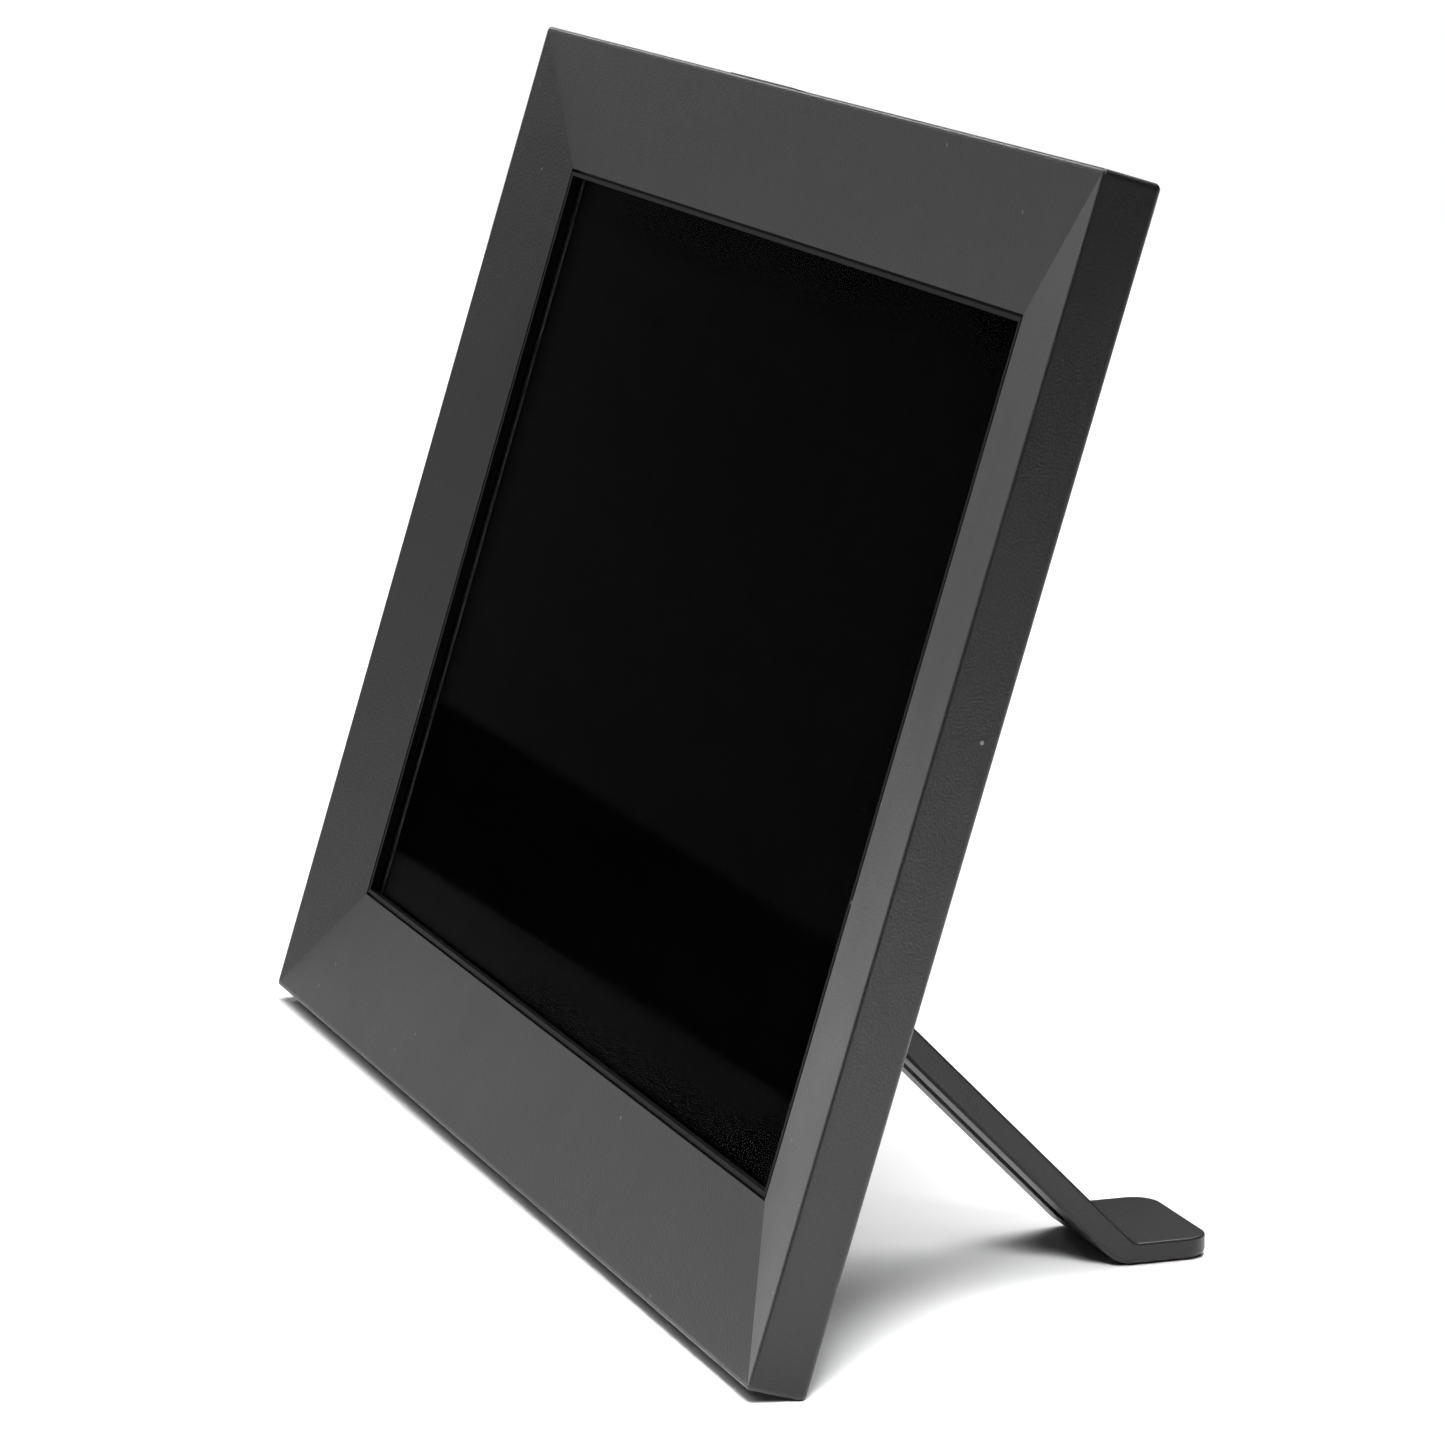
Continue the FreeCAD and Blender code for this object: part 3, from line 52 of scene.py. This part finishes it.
# %% [markdown]
# ## Directions of the leaning frame
# The frame leans back, so its own directions aren't the world's. The swivel joint's axis points straight
# out of its back, which gives the lean without typing the angle again, and "up the frame" is at right
# angles to it. A point is then a distance across, back and up from the hinge pin.

# %% The frame's own directions
swivel = next(joint for joint in frame["joints"] if joint["name"] == "stand_swivel")
ACROSS = np.array([1.0, 0.0, 0.0])
BACK = np.array(swivel["axis"])
UP = np.cross(ACROSS, BACK)
lean = math.degrees(math.asin(-BACK[2]))
print(f"the frame leans back {lean:.1f} degrees")

# %% [markdown]
# ## The camera
# A telephoto view from the object's right, a little above it. It is held by four plain facts: which way it
# looks round the object, how far down it looks, how far off it stands and what it looks at. A long lens
# keeps the frame's sides nearly parallel, and no shift or blur is used.

# %% Camera
VIEW_AZIMUTH = math.radians(71.03)
VIEW_ELEVATION = math.radians(11.14)
VIEW_DISTANCE = 1.0
VIEW_AIM = Vector((9.4, -9.0, 76.4)) * MM
LENS_MM = 151.3
SENSOR_MM = 36
NEAREST_SHOWN = 0.05

away = Vector((math.cos(VIEW_ELEVATION) * math.sin(VIEW_AZIMUTH),
               -math.cos(VIEW_ELEVATION) * math.cos(VIEW_AZIMUTH),
               math.sin(VIEW_ELEVATION)))
camera = bpy.data.objects.new("camera", bpy.data.cameras.new("camera"))
camera.data.lens = LENS_MM
camera.data.sensor_width = SENSOR_MM
camera.data.clip_start = NEAREST_SHOWN
camera.location = VIEW_AIM + away * VIEW_DISTANCE
camera.rotation_euler = away.to_track_quat("Z", "Y").to_euler()
bpy.context.scene.collection.objects.link(camera)
bpy.context.scene.camera = camera
bpy.context.scene.view_settings.view_transform = "Standard"
print("camera at", [round(value, 3) for value in camera.location])

# %% [markdown]
# ## Colours and nodes
# Colours are written as people read them, as sRGB hex values, and one function turns them into the linear
# numbers that light is reckoned in. One more function adds a shader node, sets it up and links it, so a
# material reads as a short list of what is in it.

# %% Helpers for colours and nodes
def linear(hex_colour):
    """sRGB to linear light: a dark channel is divided by 12.92, any other is shifted and raised to 2.4."""
    srgb = np.array([int(hex_colour[index:index + 2], 16) for index in (1, 3, 5)]) / 255
    channels = np.where(srgb <= 0.04045, srgb / 12.92, ((srgb + 0.055) / 1.055) ** 2.4)
    return (*channels.tolist(), 1.0)


def add(tree, kind, settings=None, links=None):
    """Add a node: a setting goes on the node or on the socket of that name or number; links feed sockets."""
    node = tree.nodes.new(kind)
    for key, value in (settings or {}).items():
        if isinstance(key, str) and hasattr(node, key):
            setattr(node, key, value)
        else:
            node.inputs[key].default_value = value
    for key, source in (links or {}).items():
        tree.links.new(source, node.inputs[key])
    return node


def start(name, settings):
    """A new material with one Principled shader, and the object's own coordinates to draw patterns in."""
    material = bpy.data.materials.new(name)
    material.use_nodes = True
    tree = material.node_tree
    shader = tree.nodes["Principled BSDF"]
    for key, value in settings.items():
        shader.inputs[key].default_value = value
    place = add(tree, "ShaderNodeTexCoord").outputs["Object"]
    return material, tree, shader, place


# %% [markdown]
# ## Moulded plastic
# The bezel, the cover and the leg are ABS, moulded against a steel tool whose surface was spark eroded.
# That leaves a fine, even grain which scatters the highlight, so the plastic looks matt but not chalky.
# Noise at the grain's pitch gives the bump, and the same noise lifts the colour towards a lighter grey where
# the grain rises: painted light on its crests and painted shade in its hollows. A slower noise clouds the
# sheen by a few percent, and thinly scattered points are dust, which any dark plastic gathers. A real grain
# can be under a tenth of a millimetre, so it is drawn a little coarser, at the pitch that shows from here.

# %% Plastic finishes
CLOUD_PITCH = 22 * MM
CLOUD_SWING = 0.03
# How much lighter the grain's crests are painted: painted light and shade of the grain.
GRAIN_SHADE_SHARE = 0.16
GRAIN_DEPTH = 0.25
DUST_PITCH = 9 * MM
DUST_RADIUS = 0.035
DUST_COVER = 0.5
DUST_HEX = "#8a8a88"


def moulded(name, hex_colour, lit_crest_hex, roughness, grain_mm, relief, specular=0.5, dust=True):
    """Moulded plastic: grain in the bump and in painted light and shade, a slow cloud in the sheen, specks of
    dust.
    """
    material, tree, shader, place = start(name, {"Specular IOR Level": specular})
    grain = add(tree, "ShaderNodeTexNoise", {"Scale": 1 / (grain_mm * MM), "Detail": 3.0}, {"Vector": place})
    cloud = add(tree, "ShaderNodeTexNoise", {"Scale": 1 / CLOUD_PITCH, "Detail": 2.0}, {"Vector": place})
    sheen = add(tree, "ShaderNodeMapRange", {
        "From Min": 0.3, "From Max": 0.7,
        "To Min": roughness - CLOUD_SWING, "To Max": roughness + CLOUD_SWING},
        {"Value": cloud.outputs["Fac"]})
    tree.links.new(sheen.outputs["Result"], shader.inputs["Roughness"])
    # The colour follows the grain's height: painted light on the crests and painted shade in the hollows.
    grain_shade = add(tree, "ShaderNodeMapRange", {
        "From Min": 0.35, "From Max": 0.65, "To Min": 0.0, "To Max": GRAIN_SHADE_SHARE},
        {"Value": grain.outputs["Fac"]})
    colour = add(tree, "ShaderNodeMix", {"data_type": "RGBA", 6: linear(hex_colour), 7: linear(lit_crest_hex)},
                 {0: grain_shade.outputs["Result"]})
    tone = colour.outputs[2]
    if dust:
        cell = add(tree, "ShaderNodeTexVoronoi", {"Scale": 1 / DUST_PITCH}, {"Vector": place})
        near = add(tree, "ShaderNodeMath", {"operation": "LESS_THAN", 1: DUST_RADIUS},
                   {0: cell.outputs["Distance"]})
        speck = add(tree, "ShaderNodeMath", {"operation": "MULTIPLY", 1: DUST_COVER},
                    {0: near.outputs["Value"]})
        dusted = add(tree, "ShaderNodeMix", {"data_type": "RGBA", 7: linear(DUST_HEX)},
                     {0: speck.outputs["Value"], 6: tone})
        tone = dusted.outputs[2]
    tree.links.new(tone, shader.inputs["Base Color"])
    bump = add(tree, "ShaderNodeBump", {"Strength": relief, "Distance": GRAIN_DEPTH * grain_mm * MM},
               {"Height": grain.outputs["Fac"]})
    tree.links.new(bump.outputs["Normal"], shader.inputs["Normal"])
    return material


# Each plastic's second colour is the lighter grey painted on the grain's crests.
finishes = {
    "charcoal_moulding": moulded("spark_eroded_abs", "#131313", "#2c2c2c", 0.38, 0.4, 0.75, specular=0.35),
    "liner_plastic": moulded("smooth_abs", "#050505", "#0b0b0b", 0.5, 0.5, 0.10, specular=0.06),
    "key_plastic": moulded("satin_abs_keys", "#1d1e20", "#303134", 0.32, 0.4, 0.15, specular=0.4),
    "gloss_key_plastic": moulded("polished_acrylic_key", "#060607", "#0b0b0c", 0.2, 0.8, 0.04, specular=0.3),
    "connector_plastic": moulded("glass_filled_nylon", "#1d1d1e", "#2e2e30", 0.55, 0.25, 0.35, dust=False),
    "chip_epoxy": moulded("moulded_epoxy", "#1b1b1d", "#2b2b2e", 0.6, 0.15, 0.35, dust=False),
    "washer_nylon": moulded("natural_nylon", "#d9d4c6", "#efeadc", 0.4, 0.8, 0.05, dust=False),
}
print("plastics:", ", ".join(finishes))

# %% [markdown]
# ## The display
# Behind a clear pane lies a liquid crystal cell with a polarising film on it. Switched off, the film
# drinks nearly all the light. The pane has an anti-reflective coat, as display glass does, so it is almost
# invisible. A coat works by making the step in index small, so here the index itself is set just above
# that of air, and the light goes through to the film with a breath of a reflection left at the surface.
# The real picture elements are a sixth of a millimetre across, too fine to show, so the film's grid is
# drawn coarser, half a millimetre by a quarter: half and a quarter of the pattern's unit.

# %% Display finishes
COATED_INDEX = 1.015
SMEAR_PITCH = 30 * MM
SMEAR_HAZE = 0.05
GRID_UNIT = 1.0 * MM
ACRYLIC_INDEX = 1.49
INK_DOT_PITCH = 1.2 * MM
INK_DOT_RADIUS = 0.25


def coated_glass():
    """Display glass: clear, with a coat that leaves little to mirror, and a trace of haze from handling."""
    material, tree, shader, place = start("coated_display_glass", {
        "Base Color": linear("#f2f4f4"), "Transmission Weight": 1.0, "IOR": COATED_INDEX})
    smear = add(tree, "ShaderNodeTexNoise", {"Scale": 1 / SMEAR_PITCH, "Detail": 3.0}, {"Vector": place})
    haze = add(tree, "ShaderNodeMapRange", {"To Min": 0.0, "To Max": SMEAR_HAZE},
               {"Value": smear.outputs["Fac"]})
    tree.links.new(haze.outputs["Result"], shader.inputs["Roughness"])
    return material


def polariser():
    """The cell's black film: the grid round the picture elements is a shade lighter than the elements."""
    material, tree, shader, place = start("polarising_film", {"Roughness": 0.6, "Specular IOR Level": 0.0})
    grid = add(tree, "ShaderNodeTexBrick", {
        "Scale": 1 / GRID_UNIT, "Color1": linear("#020203"), "Color2": linear("#030303"),
        "Mortar": linear("#040405")}, {"Vector": place})
    tree.links.new(grid.outputs["Color"], shader.inputs["Base Color"])
    return material


def clear_acrylic():
    """The light guide: clear cast sheet with printed dots on its back that throw the light forwards."""
    material, tree, shader, place = start("dotted_acrylic", {
        "Transmission Weight": 0.6, "IOR": ACRYLIC_INDEX, "Roughness": 0.12})
    dots = add(tree, "ShaderNodeTexVoronoi", {"Scale": 1 / INK_DOT_PITCH, "Randomness": 0.0},
               {"Vector": place})
    ink = add(tree, "ShaderNodeMath", {"operation": "LESS_THAN", 1: INK_DOT_RADIUS},
              {0: dots.outputs["Distance"]})
    colour = add(tree, "ShaderNodeMix", {"data_type": "RGBA", 6: linear("#d6dadc"), 7: linear("#ffffff")},
                 {0: ink.outputs["Value"]})
    tree.links.new(colour.outputs[2], shader.inputs["Base Color"])
    return material


finishes["display_glass"] = coated_glass()
finishes["display_black"] = polariser()
finishes["clear_acrylic"] = clear_acrylic()
display_slots = ("display_glass", "display_black", "clear_acrylic")
print("display:", ", ".join(finishes[slot].name for slot in display_slots))

# %% [markdown]
# ## Metals
# Sheet steel is zinc plated: the plating grows in flat crystals a few millimetres wide that turn the light
# slightly differently, over fine marks from the rolls. Screws, pin and sockets have a tighter grain. A
# metal keeps the default index, and only its colour, its roughness and the direction of its marks differ.

# %% Metal finishes
CRYSTAL_SWING = 0.06
MARKS_RELIEF = 0.12
MARKS_DEPTH = 0.2


def plated(name, hex_colour, roughness, crystal_mm, marks_mm, stretch):
    """Plated metal: crystals shift the roughness, and marks stretched upwards give the bump."""
    material, tree, shader, place = start(name, {"Base Color": linear(hex_colour), "Metallic": 1.0})
    crystal = add(tree, "ShaderNodeTexVoronoi", {"Scale": 1 / (crystal_mm * MM)}, {"Vector": place})
    shade = add(tree, "ShaderNodeSeparateColor", {}, {"Color": crystal.outputs["Color"]})
    sheen = add(tree, "ShaderNodeMapRange", {
        "To Min": roughness - CRYSTAL_SWING, "To Max": roughness + CRYSTAL_SWING},
        {"Value": shade.outputs["Red"]})
    tree.links.new(sheen.outputs["Result"], shader.inputs["Roughness"])
    drawn = add(tree, "ShaderNodeMapping", {"Scale": (1.0, 1.0, 1 / stretch)}, {"Vector": place})
    marks = add(tree, "ShaderNodeTexNoise", {"Scale": 1 / (marks_mm * MM), "Detail": 2.0},
                {"Vector": drawn.outputs["Vector"]})
    bump = add(tree, "ShaderNodeBump", {"Strength": MARKS_RELIEF, "Distance": MARKS_DEPTH * marks_mm * MM},
               {"Height": marks.outputs["Fac"]})
    tree.links.new(bump.outputs["Normal"], shader.inputs["Normal"])
    return material


finishes.update({
    "plated_steel": plated("zinc_plated_sheet", "#b9bcbf", 0.38, 3.0, 0.3, 12),
    "screw_steel": plated("nickel_plated_steel", "#c2c0bb", 0.28, 0.8, 0.15, 1),
    "black_screw": plated("black_zinc_plate", "#2c2d30", 0.35, 0.8, 0.15, 1),
    "pin_steel": plated("ground_steel", "#c9cacc", 0.2, 0.6, 0.1, 1),
    "socket_steel": plated("tin_plated_sheet", "#c6c7c4", 0.3, 1.5, 0.2, 6),
    "can_aluminium": plated("drawn_aluminium", "#d5d6d8", 0.3, 1.0, 0.15, 8),
})
print("metals:", ", ".join(name for name in finishes if "steel" in name or "alu" in name or "screw" in name))

# %% [markdown]
# ## Board, film, foam, rubber and paper
# The circuit boards have a green solder mask. Square islands of copper show lighter through it, and the
# mask between them is darker and stands a hair prouder. The ribbon is amber polyimide over parallel bands
# of copper. Foam, rubber and the loudspeakers' pressed paper are soft and dull: they have no highlight to
# speak of, so their look is in the relief of cells, skin and fibres, with shade painted into the hollows.

# %% Board and ribbon
ISLAND_PITCH = 3.2 * MM
ISLAND_RADIUS = 0.28
MASK_RADIUS = 0.34
MASK_STEP = 0.04 * MM
BAND_PITCH = math.pi * MM
WAVE_RATE = 20


def solder_mask():
    """Green lacquer over copper: square islands, and the mask between them."""
    material, tree, shader, place = start("solder_mask", {"Roughness": 0.28, "Coat Weight": 0.3})
    islands = add(tree, "ShaderNodeTexVoronoi", {"distance": "CHEBYCHEV", "Scale": 1 / ISLAND_PITCH},
                  {"Vector": place})
    between = add(tree, "ShaderNodeMapRange", {"From Min": ISLAND_RADIUS, "From Max": MASK_RADIUS},
                  {"Value": islands.outputs["Distance"]})
    colour = add(tree, "ShaderNodeMix", {"data_type": "RGBA", 6: linear("#1c5a34"), 7: linear("#12401f")},
                 {0: between.outputs["Result"]})
    tree.links.new(colour.outputs[2], shader.inputs["Base Color"])
    bump = add(tree, "ShaderNodeBump", {"Strength": 0.2, "Distance": MASK_STEP},
               {"Height": between.outputs["Result"]})
    tree.links.new(bump.outputs["Normal"], shader.inputs["Normal"])
    return material


def polyimide():
    """Amber film over bands of copper: at a scale of one the wave turns twenty radians a metre, its rate."""
    material, tree, shader, place = start("polyimide_film", {"Roughness": 0.25})
    bands = add(tree, "ShaderNodeTexWave", {
        "Scale": 2 * math.pi / (WAVE_RATE * BAND_PITCH), "wave_profile": "SIN"}, {"Vector": place})
    colour = add(tree, "ShaderNodeMix", {"data_type": "RGBA", 6: linear("#a4631c"), 7: linear("#d08a34")},
                 {0: bands.outputs["Fac"]})
    tree.links.new(colour.outputs[2], shader.inputs["Base Color"])
    return material


finishes["circuit_board"] = solder_mask()
finishes["ribbon_film"] = polyimide()
print("board and ribbon:", finishes["circuit_board"].name, "and", finishes["ribbon_film"].name)

# %% Foam, rubber and paper
CELL_DEPTH = 0.4


def soft(name, hex_colour, light_hex, roughness, cell_mm, relief):
    """A dull soft surface: pits or fibres at one pitch, with shade painted into the hollows."""
    material, tree, shader, place = start(name, {"Roughness": roughness, "Specular IOR Level": 0.25})
    pits = add(tree, "ShaderNodeTexNoise", {"Scale": 1 / (cell_mm * MM), "Detail": 4.0, "Roughness": 0.65},
               {"Vector": place})
    # The colour follows the relief: painted shade, darker in the hollows.
    colour = add(tree, "ShaderNodeMix", {"data_type": "RGBA", 6: linear(hex_colour), 7: linear(light_hex)},
                 {0: pits.outputs["Fac"]})
    tree.links.new(colour.outputs[2], shader.inputs["Base Color"])
    bump = add(tree, "ShaderNodeBump", {"Strength": relief, "Distance": CELL_DEPTH * cell_mm * MM},
               {"Height": pits.outputs["Fac"]})
    tree.links.new(bump.outputs["Normal"], shader.inputs["Normal"])
    return material


# The first colour is the painted shade in the hollows, the second the colour of the tops.
finishes["foam"] = soft("open_cell_foam", "#141414", "#2c2c2c", 0.95, 0.4, 0.8)
finishes["foot_rubber"] = soft("moulded_rubber", "#161616", "#242424", 0.75, 0.3, 0.4)
finishes["cone_paper"] = soft("pressed_paper", "#232222", "#3b3937", 0.85, 0.5, 0.6)
print("soft:", ", ".join(finishes[slot].name for slot in ("foam", "foot_rubber", "cone_paper")))

# %% [markdown]
# ## Giving each piece its finish
# The record says which slot each CAD node belongs to. Each node's own mesh keeps its shape and gets one
# material, so there is nothing to draw by hand here: the patterns above are in millimetres and fit all.

# %% Assign the finishes
for row in frame["record"]["subparts"]:
    mesh = frame["nodes"][row["node"]].data
    mesh.materials.clear()
    mesh.materials.append(finishes[row["material_slot"]])
print(len(frame["nodes"]), "nodes have", len(finishes), "finishes")

# %% [markdown]
# ## Sprung contacts
# Each socket has a tongue with narrow gilded blades on it, and each blade rises in a low hump to press on
# the plug. A blade is a flat strip carried along that hump: the path is a function of the distance from
# the mouth, and the strip's section is a rounded rectangle. All of a socket's blades are one array.

# %% Blade shape
BLADE_STEPS = 28
BLADE_SIDES = 16
BLADE_SQUARENESS = 6
BLADE_THICK = 0.12 * MM
HUMP_TALL = 0.22 * MM
MOUTH_GAP = 1.3 * MM


def blade_grid(length, width):
    """A strip as a closed grid: along it runs the path, and round it runs its section.

    The path rises as a squared sine of the share of the length gone, so both ends lie flat. The section is
    a superellipse of power six, which is a rectangle with soft corners.
    """
    share = np.linspace(0, 1, BLADE_STEPS)[:, None]
    turn = np.linspace(0, 2 * math.pi, BLADE_SIDES, endpoint=False)[None, :]
    powers = np.abs(np.cos(turn)) ** BLADE_SQUARENESS + np.abs(np.sin(turn)) ** BLADE_SQUARENESS
    squared = 1 / powers ** (1 / BLADE_SQUARENESS)
    along = share * length + 0 * turn
    aside = width / 2 * squared * np.cos(turn) + 0 * share
    rise = HUMP_TALL * np.sin(math.pi * share) ** 2 + BLADE_THICK / 2 * (1 + squared * np.sin(turn))
    return np.stack([along, aside, rise], axis=-1)


def grid_faces(rows, columns):
    """Quads that join a grid's rows, closed round its columns, with a flat cap at each end."""
    row, column = np.meshgrid(np.arange(rows - 1), np.arange(columns), indexing="ij")
    following = (column + 1) % columns
    quads = np.stack([row * columns + column, row * columns + following,
                      (row + 1) * columns + following, (row + 1) * columns + column], axis=-1)
    first = list(range(columns))[::-1]
    last = [(rows - 1) * columns + index for index in range(columns)]
    return quads.reshape(-1, 4).tolist() + [first, last]


gold = plated("gilded_bronze", "#d9b36a", 0.22, 0.4, 0.08, 1)


def contacts(socket, count, pitch, width, length, tongue_thick):
    """A row of blades on the rear face of a socket's tongue, which starts a gap inside the mouth."""
    low, high = (np.array(corner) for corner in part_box(socket))
    centre = (low + high) / 2
    blade = blade_grid(length, width)
    offsets = (np.arange(count) - (count - 1) / 2) * pitch
    root = np.array([low[0] + MOUTH_GAP, centre[1], centre[2]]) + BACK * tongue_thick / 2
    points, faces = [], []
    for index, offset in enumerate(offsets):
        placed = root + blade[..., :1] * ACROSS + (blade[..., 1:2] + offset) * UP + blade[..., 2:] * BACK
        points.append(placed.reshape(-1, 3))
        first_corner = index * placed.size // 3
        faces += [[first_corner + corner for corner in face] for face in grid_faces(*placed.shape[:2])]
    mesh = bpy.data.meshes.new(f"{socket}_contacts")
    mesh.from_pydata(np.concatenate(points).tolist(), [], faces)
    mesh.materials.append(gold)
    mesh.shade_smooth()
    piece = bpy.data.objects.new(f"{socket}_contacts", mesh)
    bpy.context.scene.collection.objects.link(piece)
    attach(piece, "case")
    print(piece.name, "has", count, "blades and", len(mesh.polygons), "faces")


# %% Contacts in the four sockets
contacts("usb_socket", 4, 2.3 * MM, 1.1 * MM, 7.5 * MM, 1.53 * MM)
contacts("mini_usb_socket", 5, 0.9 * MM, 0.45 * MM, 4.5 * MM, 0.93 * MM)
contacts("power_socket", 5, 1.2 * MM, 0.6 * MM, 4.0 * MM, 0.75 * MM)
contacts("card_slot", 9, 2.1 * MM, 1.2 * MM, 16 * MM, 0.6 * MM)

# %% [markdown]
# ## Floor and light
# The object stands on a round, pale table top, which ends a metre or so beyond the frame as the camera
# looks. The frame's top face is seen at a grazing angle and mirrors what lies far off there, so an endless
# floor would whiten it.
# The soft light comes from big panels, because a dark matt plastic has no colour to show and is drawn only
# by what it mirrors: each panel paints the face that looks at it. The surroundings are plain white to look
# at, and dim as a source, so that the panels do the shaping.

# %% Floor
TABLE_RADIUS = 1.0
TABLE_CENTRE = (-0.35, 0.1)
TABLE_SIDES = 256
turn = np.linspace(0, 2 * math.pi, TABLE_SIDES, endpoint=False)
rim = np.stack([TABLE_CENTRE[0] + TABLE_RADIUS * np.cos(turn),
                TABLE_CENTRE[1] + TABLE_RADIUS * np.sin(turn), 0 * turn], axis=-1)
table_mesh = bpy.data.meshes.new("table_top")
table_mesh.from_pydata(rim.tolist(), [], [list(range(TABLE_SIDES))])
table_paper = start("white_paper", {
    "Base Color": linear("#f8f8f8"), "Roughness": 0.9, "Specular IOR Level": 0.1})[0]
table_mesh.materials.append(table_paper)
table_top = bpy.data.objects.new("table_top", table_mesh)
bpy.context.scene.collection.objects.link(table_top)
print("the table top is", 2 * TABLE_RADIUS, "m across")

# %% Surroundings
SURROUND_LIGHT = 0.02
world = bpy.data.worlds.new("studio")
bpy.context.scene.world = world
world.use_nodes = True
sky = world.node_tree
seen = add(sky, "ShaderNodeLightPath").outputs["Is Camera Ray"]
strength = add(sky, "ShaderNodeMapRange", {"To Min": SURROUND_LIGHT, "To Max": 1.0}, {"Value": seen})
background = sky.nodes["Background"]
background.inputs["Color"].default_value = (1.0, 1.0, 1.0, 1.0)
sky.links.new(strength.outputs["Result"], background.inputs["Strength"])
print("the surroundings give", SURROUND_LIGHT, "of the light that white would")

# %% Light panels
def panel(name, place, aim, width, height, watts, beam=180):
    """A soft rectangular light that faces a point; a grid in front of it can narrow the beam, in degrees."""
    light = bpy.data.lights.new(name, "AREA")
    light.shape = "RECTANGLE"
    light.size = width
    light.size_y = height
    light.energy = watts
    light.spread = math.radians(beam)
    lamp = bpy.data.objects.new(name, light)
    lamp.location = place
    lamp.rotation_euler = (Vector(place) - Vector(aim)).to_track_quat("Z", "Y").to_euler()
    lamp.visible_camera = False
    bpy.context.scene.collection.objects.link(lamp)
    return lamp


CENTRE = (0.0, 0.0, 0.08)
POOL_PLACE = (0.28, -0.03, 0.0)
panels = [
    panel("overhead", (0.0, 0.0, 2.0), CENTRE, 2.0, 2.0, 23.6),
    panel("over_left", (-0.9, 0.4, 1.9), CENTRE, 1.6, 1.6, 54),
    panel("far_left", (-3.0, -0.4, 0.3), CENTRE, 2.0, 0.5, 2.1),
    panel("front_left_low", (-1.2, -1.1, 0.2), CENTRE, 0.5, 0.3, 0.5),
    panel("left_band", (-1.9, -0.7, 1.05), CENTRE, 1.0, 0.4, 1.2, beam=40),
    panel("pool", (0.5, -0.15, 0.5), POOL_PLACE, 0.2, 0.2, 0.9, beam=50),
]
print(len(panels), "panels give", round(sum(lamp.data.energy for lamp in panels), 1), "watts")
